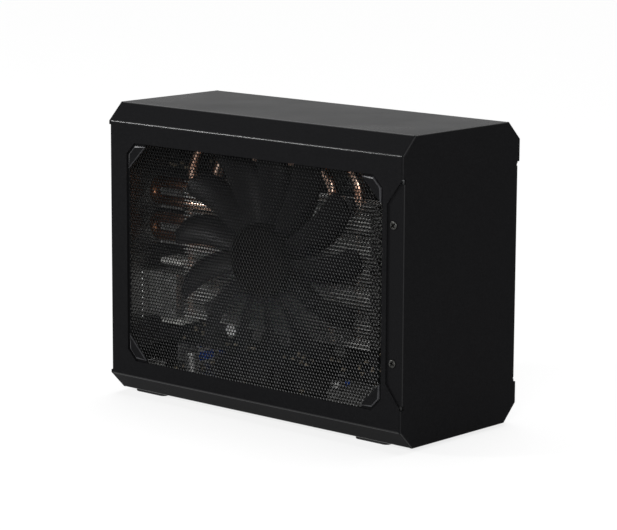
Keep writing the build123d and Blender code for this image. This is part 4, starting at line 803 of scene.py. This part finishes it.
# %% Screws at their places
WHOLE, UP, REARWARD = (1, 1, 1), (0, 0, 1), (0, 1, 0)
FLANGE_FACE, REAR_FACE, GUARD_FACE, BOARD_TOP = 46.9, 106.0, 107.0, 10.7
FLANGE_Y, FLANGE_HEIGHTS = -99.2, (47.1, 118.5)
PANEL_PLACES = [(-34, 7.35), (34, 7.35)]
BRACKET_PLACES = [(-32.1, 137.1), (-0.9, 137.1)]
SUPPLY_PLACES = [(7.5, 152.086), (41.4, 152.086), (7.5, 122.386)]
GUARD_PLACES = [(x, z) for x in (7.6, 41.3) for z in (79.536, 113.236)]
BOARD_PLACES = [(x, y) for x in (-34, 34) for y in (-86.7, -3.75, 79.2)]

screw_spots = [((side * FLANGE_FACE, FLANGE_Y, z), (side, 0, 0), WHOLE)
               for side in (-1, 1) for z in FLANGE_HEIGHTS]
screw_spots += [((x, REAR_FACE, z), REARWARD, WHOLE)
                for x, z in PANEL_PLACES + BRACKET_PLACES + SUPPLY_PLACES]
screw_spots += [((x, GUARD_FACE, z), REARWARD, WHOLE) for x, z in GUARD_PLACES]
screw_spots += [((x, y, BOARD_TOP), UP, WHOLE) for x, y in BOARD_PLACES]
# The crosses get the mesh's near-black coat, as painted shade
set_on_points("cross_headed_screws", screw, screw_spots, zinc_steel, painted_shade_coat,
              twist=math.pi / 2, seed=7,
              replaced=["front_screws", "rear_screws", "bracket_screws", "supply_screws", "guard_screws",
                        "board_screws"])

# %% [markdown]
# ## Small parts on the boards
# Both boards are full of small parts: square chips, tan ceramic capacitors and plain black resistors. Their
# places are drawn from a seeded random generator, and a place is dropped where a larger part already
# stands. The shapes are soft-edged blocks of unit size, which the tree scales to each part's own size.

# %% Places with nothing on them yet
BLOCK_BEVEL, PART_GAP, TRIES, SCREW_CLEARANCE = 0.06, 0.5, 60, 4
unit_block = bpy.data.meshes.new("unit_block")
shape = bmesh.new()
bmesh.ops.create_cube(shape, size=1.0, matrix=Matrix.Translation((0, 0, 0.5)))
bmesh.ops.bevel(shape, geom=shape.edges[:], offset=BLOCK_BEVEL, segments=1, affect="EDGES")
shape.to_mesh(unit_block)
shape.free()
CARD_FACE_X, CARD_FACING = -3.1, (-1, 0, 0)
# Each taken patch is a pair of spans on the board, across and along
main_taken = [((-8, 3.4), (-32, 66)), ((-31, -1), (-68, -37)), ((3, 37), (86, 107)), ((-25, -11), (95, 107)),
              ((25, 39), (8, 70)), ((-20, -8), (69, 82)), ((-20, -8), (12, 24)), ((-20, -8), (-40, -27)),
              ((6, 17), (13, 59))]
main_taken += [tuple((value - SCREW_CLEARANCE, value + SCREW_CLEARANCE) for value in spot)
               for spot in BOARD_PLACES]
card_taken = [((-68, 76), (43, 124)), ((78, 107), (35, 119)), ((-42, 52), (33, 45)), ((-66, -44), (120, 138)),
              ((-10, 36), (114, 131))]


def meet(first, second):
    """Whether two patches share any part of the board."""
    return all(a[0] < b[1] and a[1] > b[0] for a, b in zip(first, second))


def free_spots(seed, count, wide, tall, taken, size, to_place, facing):
    """Seeded places for small parts of a size, clear of what is there."""
    chance, spots, used = random.Random(seed), [], list(taken)
    for _ in range(TRIES * count):
        across, along = chance.uniform(*wide), chance.uniform(*tall)
        length, width = size[:2] if chance.random() < 0.5 else size[1::-1]
        patch = tuple((middle - extent / 2 - PART_GAP, middle + extent / 2 + PART_GAP)
                      for middle, extent in ((across, length), (along, width)))
        if any(meet(patch, other) for other in used):
            continue
        used.append(patch)
        spots.append((to_place(across, along), facing, [value * MM for value in (length, width, size[2])]))
        if len(spots) == count:
            break
    return spots, used


def on_main(across, along):
    return (across, along, BOARD_TOP)


def on_card(across, along):
    return (CARD_FACE_X, across, along)


MAIN_SPANS, CARD_SPANS = ((-38.5, 38.5), (-91, 94)), ((-63, 102), (25, 133))
# For each kind: its material and slot, its size, and how many stand on the main board and on the card
small_parts = {"small_chips": (chip_resin, "chip_black", (6.0, 5.0, 1.1), 14, 10),
               "ceramic_capacitors": (tan_ceramic, "white_plastic", (2.4, 1.5, 1.3), 60, 50),
               "chip_resistors": (black_plastic, "chip_black", (1.7, 0.9, 0.6), 110, 80)}
print("kinds of small parts", len(small_parts))

# %% Small parts on both boards
FIRST_SEED = 31
for seed, (name, kind) in enumerate(small_parts.items(), FIRST_SEED):
    material, slot, size, main_count, card_count = kind
    main_spots, main_taken = free_spots(seed, main_count, *MAIN_SPANS, main_taken, size, on_main, UP)
    card_spots, card_taken = free_spots(seed, card_count, *CARD_SPANS, card_taken, size, on_card, CARD_FACING)
    set_on_points(name, unit_block, main_spots + card_spots, material)

# %% [markdown]
# ## Stage and light
# The object stands on a plain pale floor under a wide bright ceiling. A softbox at the front left reaches
# through the mesh and glints on the rims of its holes, and a smaller one behind draws bright lines along
# the folds. All lamps are weak enough for a middle grey card to look about as grey as it is written. The
# floor and the world are white to the camera and in reflections, and that is what the top shines with.

# %% Floor and world
def seen_directly(tree):
    """One for what the camera sees, itself or in a mirror or a glass, and nought for what only lights."""
    path = add(tree, "ShaderNodeLightPath").outputs
    mirrored = add(tree, SUM, {0: path["Is Glossy Ray"], 1: path["Is Transmission Ray"]}, operation="MAXIMUM")
    return add(tree, SUM, {0: path["Is Camera Ray"], 1: mirrored}, operation="MAXIMUM")


FLOOR_SIZE, WHITE_SHARE, WORLD_LIGHT = 30.0, 0.8, 0.12
floor_mesh = bpy.data.meshes.new("floor")
half = FLOOR_SIZE / 2
corners = [(-half, -half, 0), (half, -half, 0), (half, half, 0), (-half, half, 0)]
floor_mesh.from_pydata(corners, [], [(0, 1, 2, 3)])

# Nearly white paper that shows no edge and keeps the object's soft shadow
floor_paper = bpy.data.materials.new("pale_paper")
floor_paper.use_nodes = True
tree = floor_paper.node_tree
tree.nodes.clear()
paper = add(tree, "ShaderNodeBsdfDiffuse", {"Color": linear("#f4f4f4")})
white = add(tree, "ShaderNodeEmission", {"Color": linear("#ffffff"), "Strength": 1.0})
share = add(tree, SUM, {0: seen_directly(tree), 1: WHITE_SHARE}, operation="MULTIPLY")
mixed = add(tree, "ShaderNodeMixShader", {0: share, 1: paper, 2: white})
add(tree, "ShaderNodeOutputMaterial", {"Surface": mixed})
floor_mesh.materials.append(floor_paper)
floor = new_object("floor", floor_mesh)

# A dim world that the camera and reflections see as white
world = bpy.data.worlds.new("studio")
scene.world = world
world.use_nodes = True
tree = world.node_tree
tree.nodes.clear()
dim, white = (add(tree, "ShaderNodeBackground", {"Color": linear("#ffffff"), "Strength": strength})
              for strength in (WORLD_LIGHT, 1.0))
mixed = add(tree, "ShaderNodeMixShader", {0: seen_directly(tree), 1: dim, 2: white})
add(tree, "ShaderNodeOutputWorld", {"Surface": mixed})
scene.view_settings.view_transform = "Standard"
print("floor of", FLOOR_SIZE, "m and a white world")


# %% Lamps
def hang(name, kind, energy, direction, place=(0, 0, 0), **settings):
    """A lamp at a place that shines in a direction."""
    light = bpy.data.lights.new(name, kind)
    light.energy = energy
    for key, value in settings.items():
        setattr(light, key, value)
    lamp = new_object(name, light)
    lamp.location = place
    lamp.rotation_euler = direction.to_track_quat("-Z", "Y").to_euler()


MIDDLE = Vector((0.0, 0.0, 0.08))
# For each softbox: its place and its side in metres, and its watts
softboxes = {"front_left_softbox": (Vector((-1.67, -1.15, 0.8)), 0.62, 26),
             "back_left_softbox": (Vector((-1.4, 1.45, 0.87)), 0.3, 24)}
for name, (place, side, watts) in softboxes.items():
    hang(name, "AREA", watts, MIDDLE - place, place, shape="SQUARE", size=side)
CEILING_LIGHT, CEILING_SPREAD, CEILING_DIRECTION = 2.8, math.radians(50), Vector((-0.25, -0.1, -1.0))
hang("ceiling", "SUN", CEILING_LIGHT, CEILING_DIRECTION, angle=CEILING_SPREAD)
print("lamps", list(softboxes), "and a ceiling")
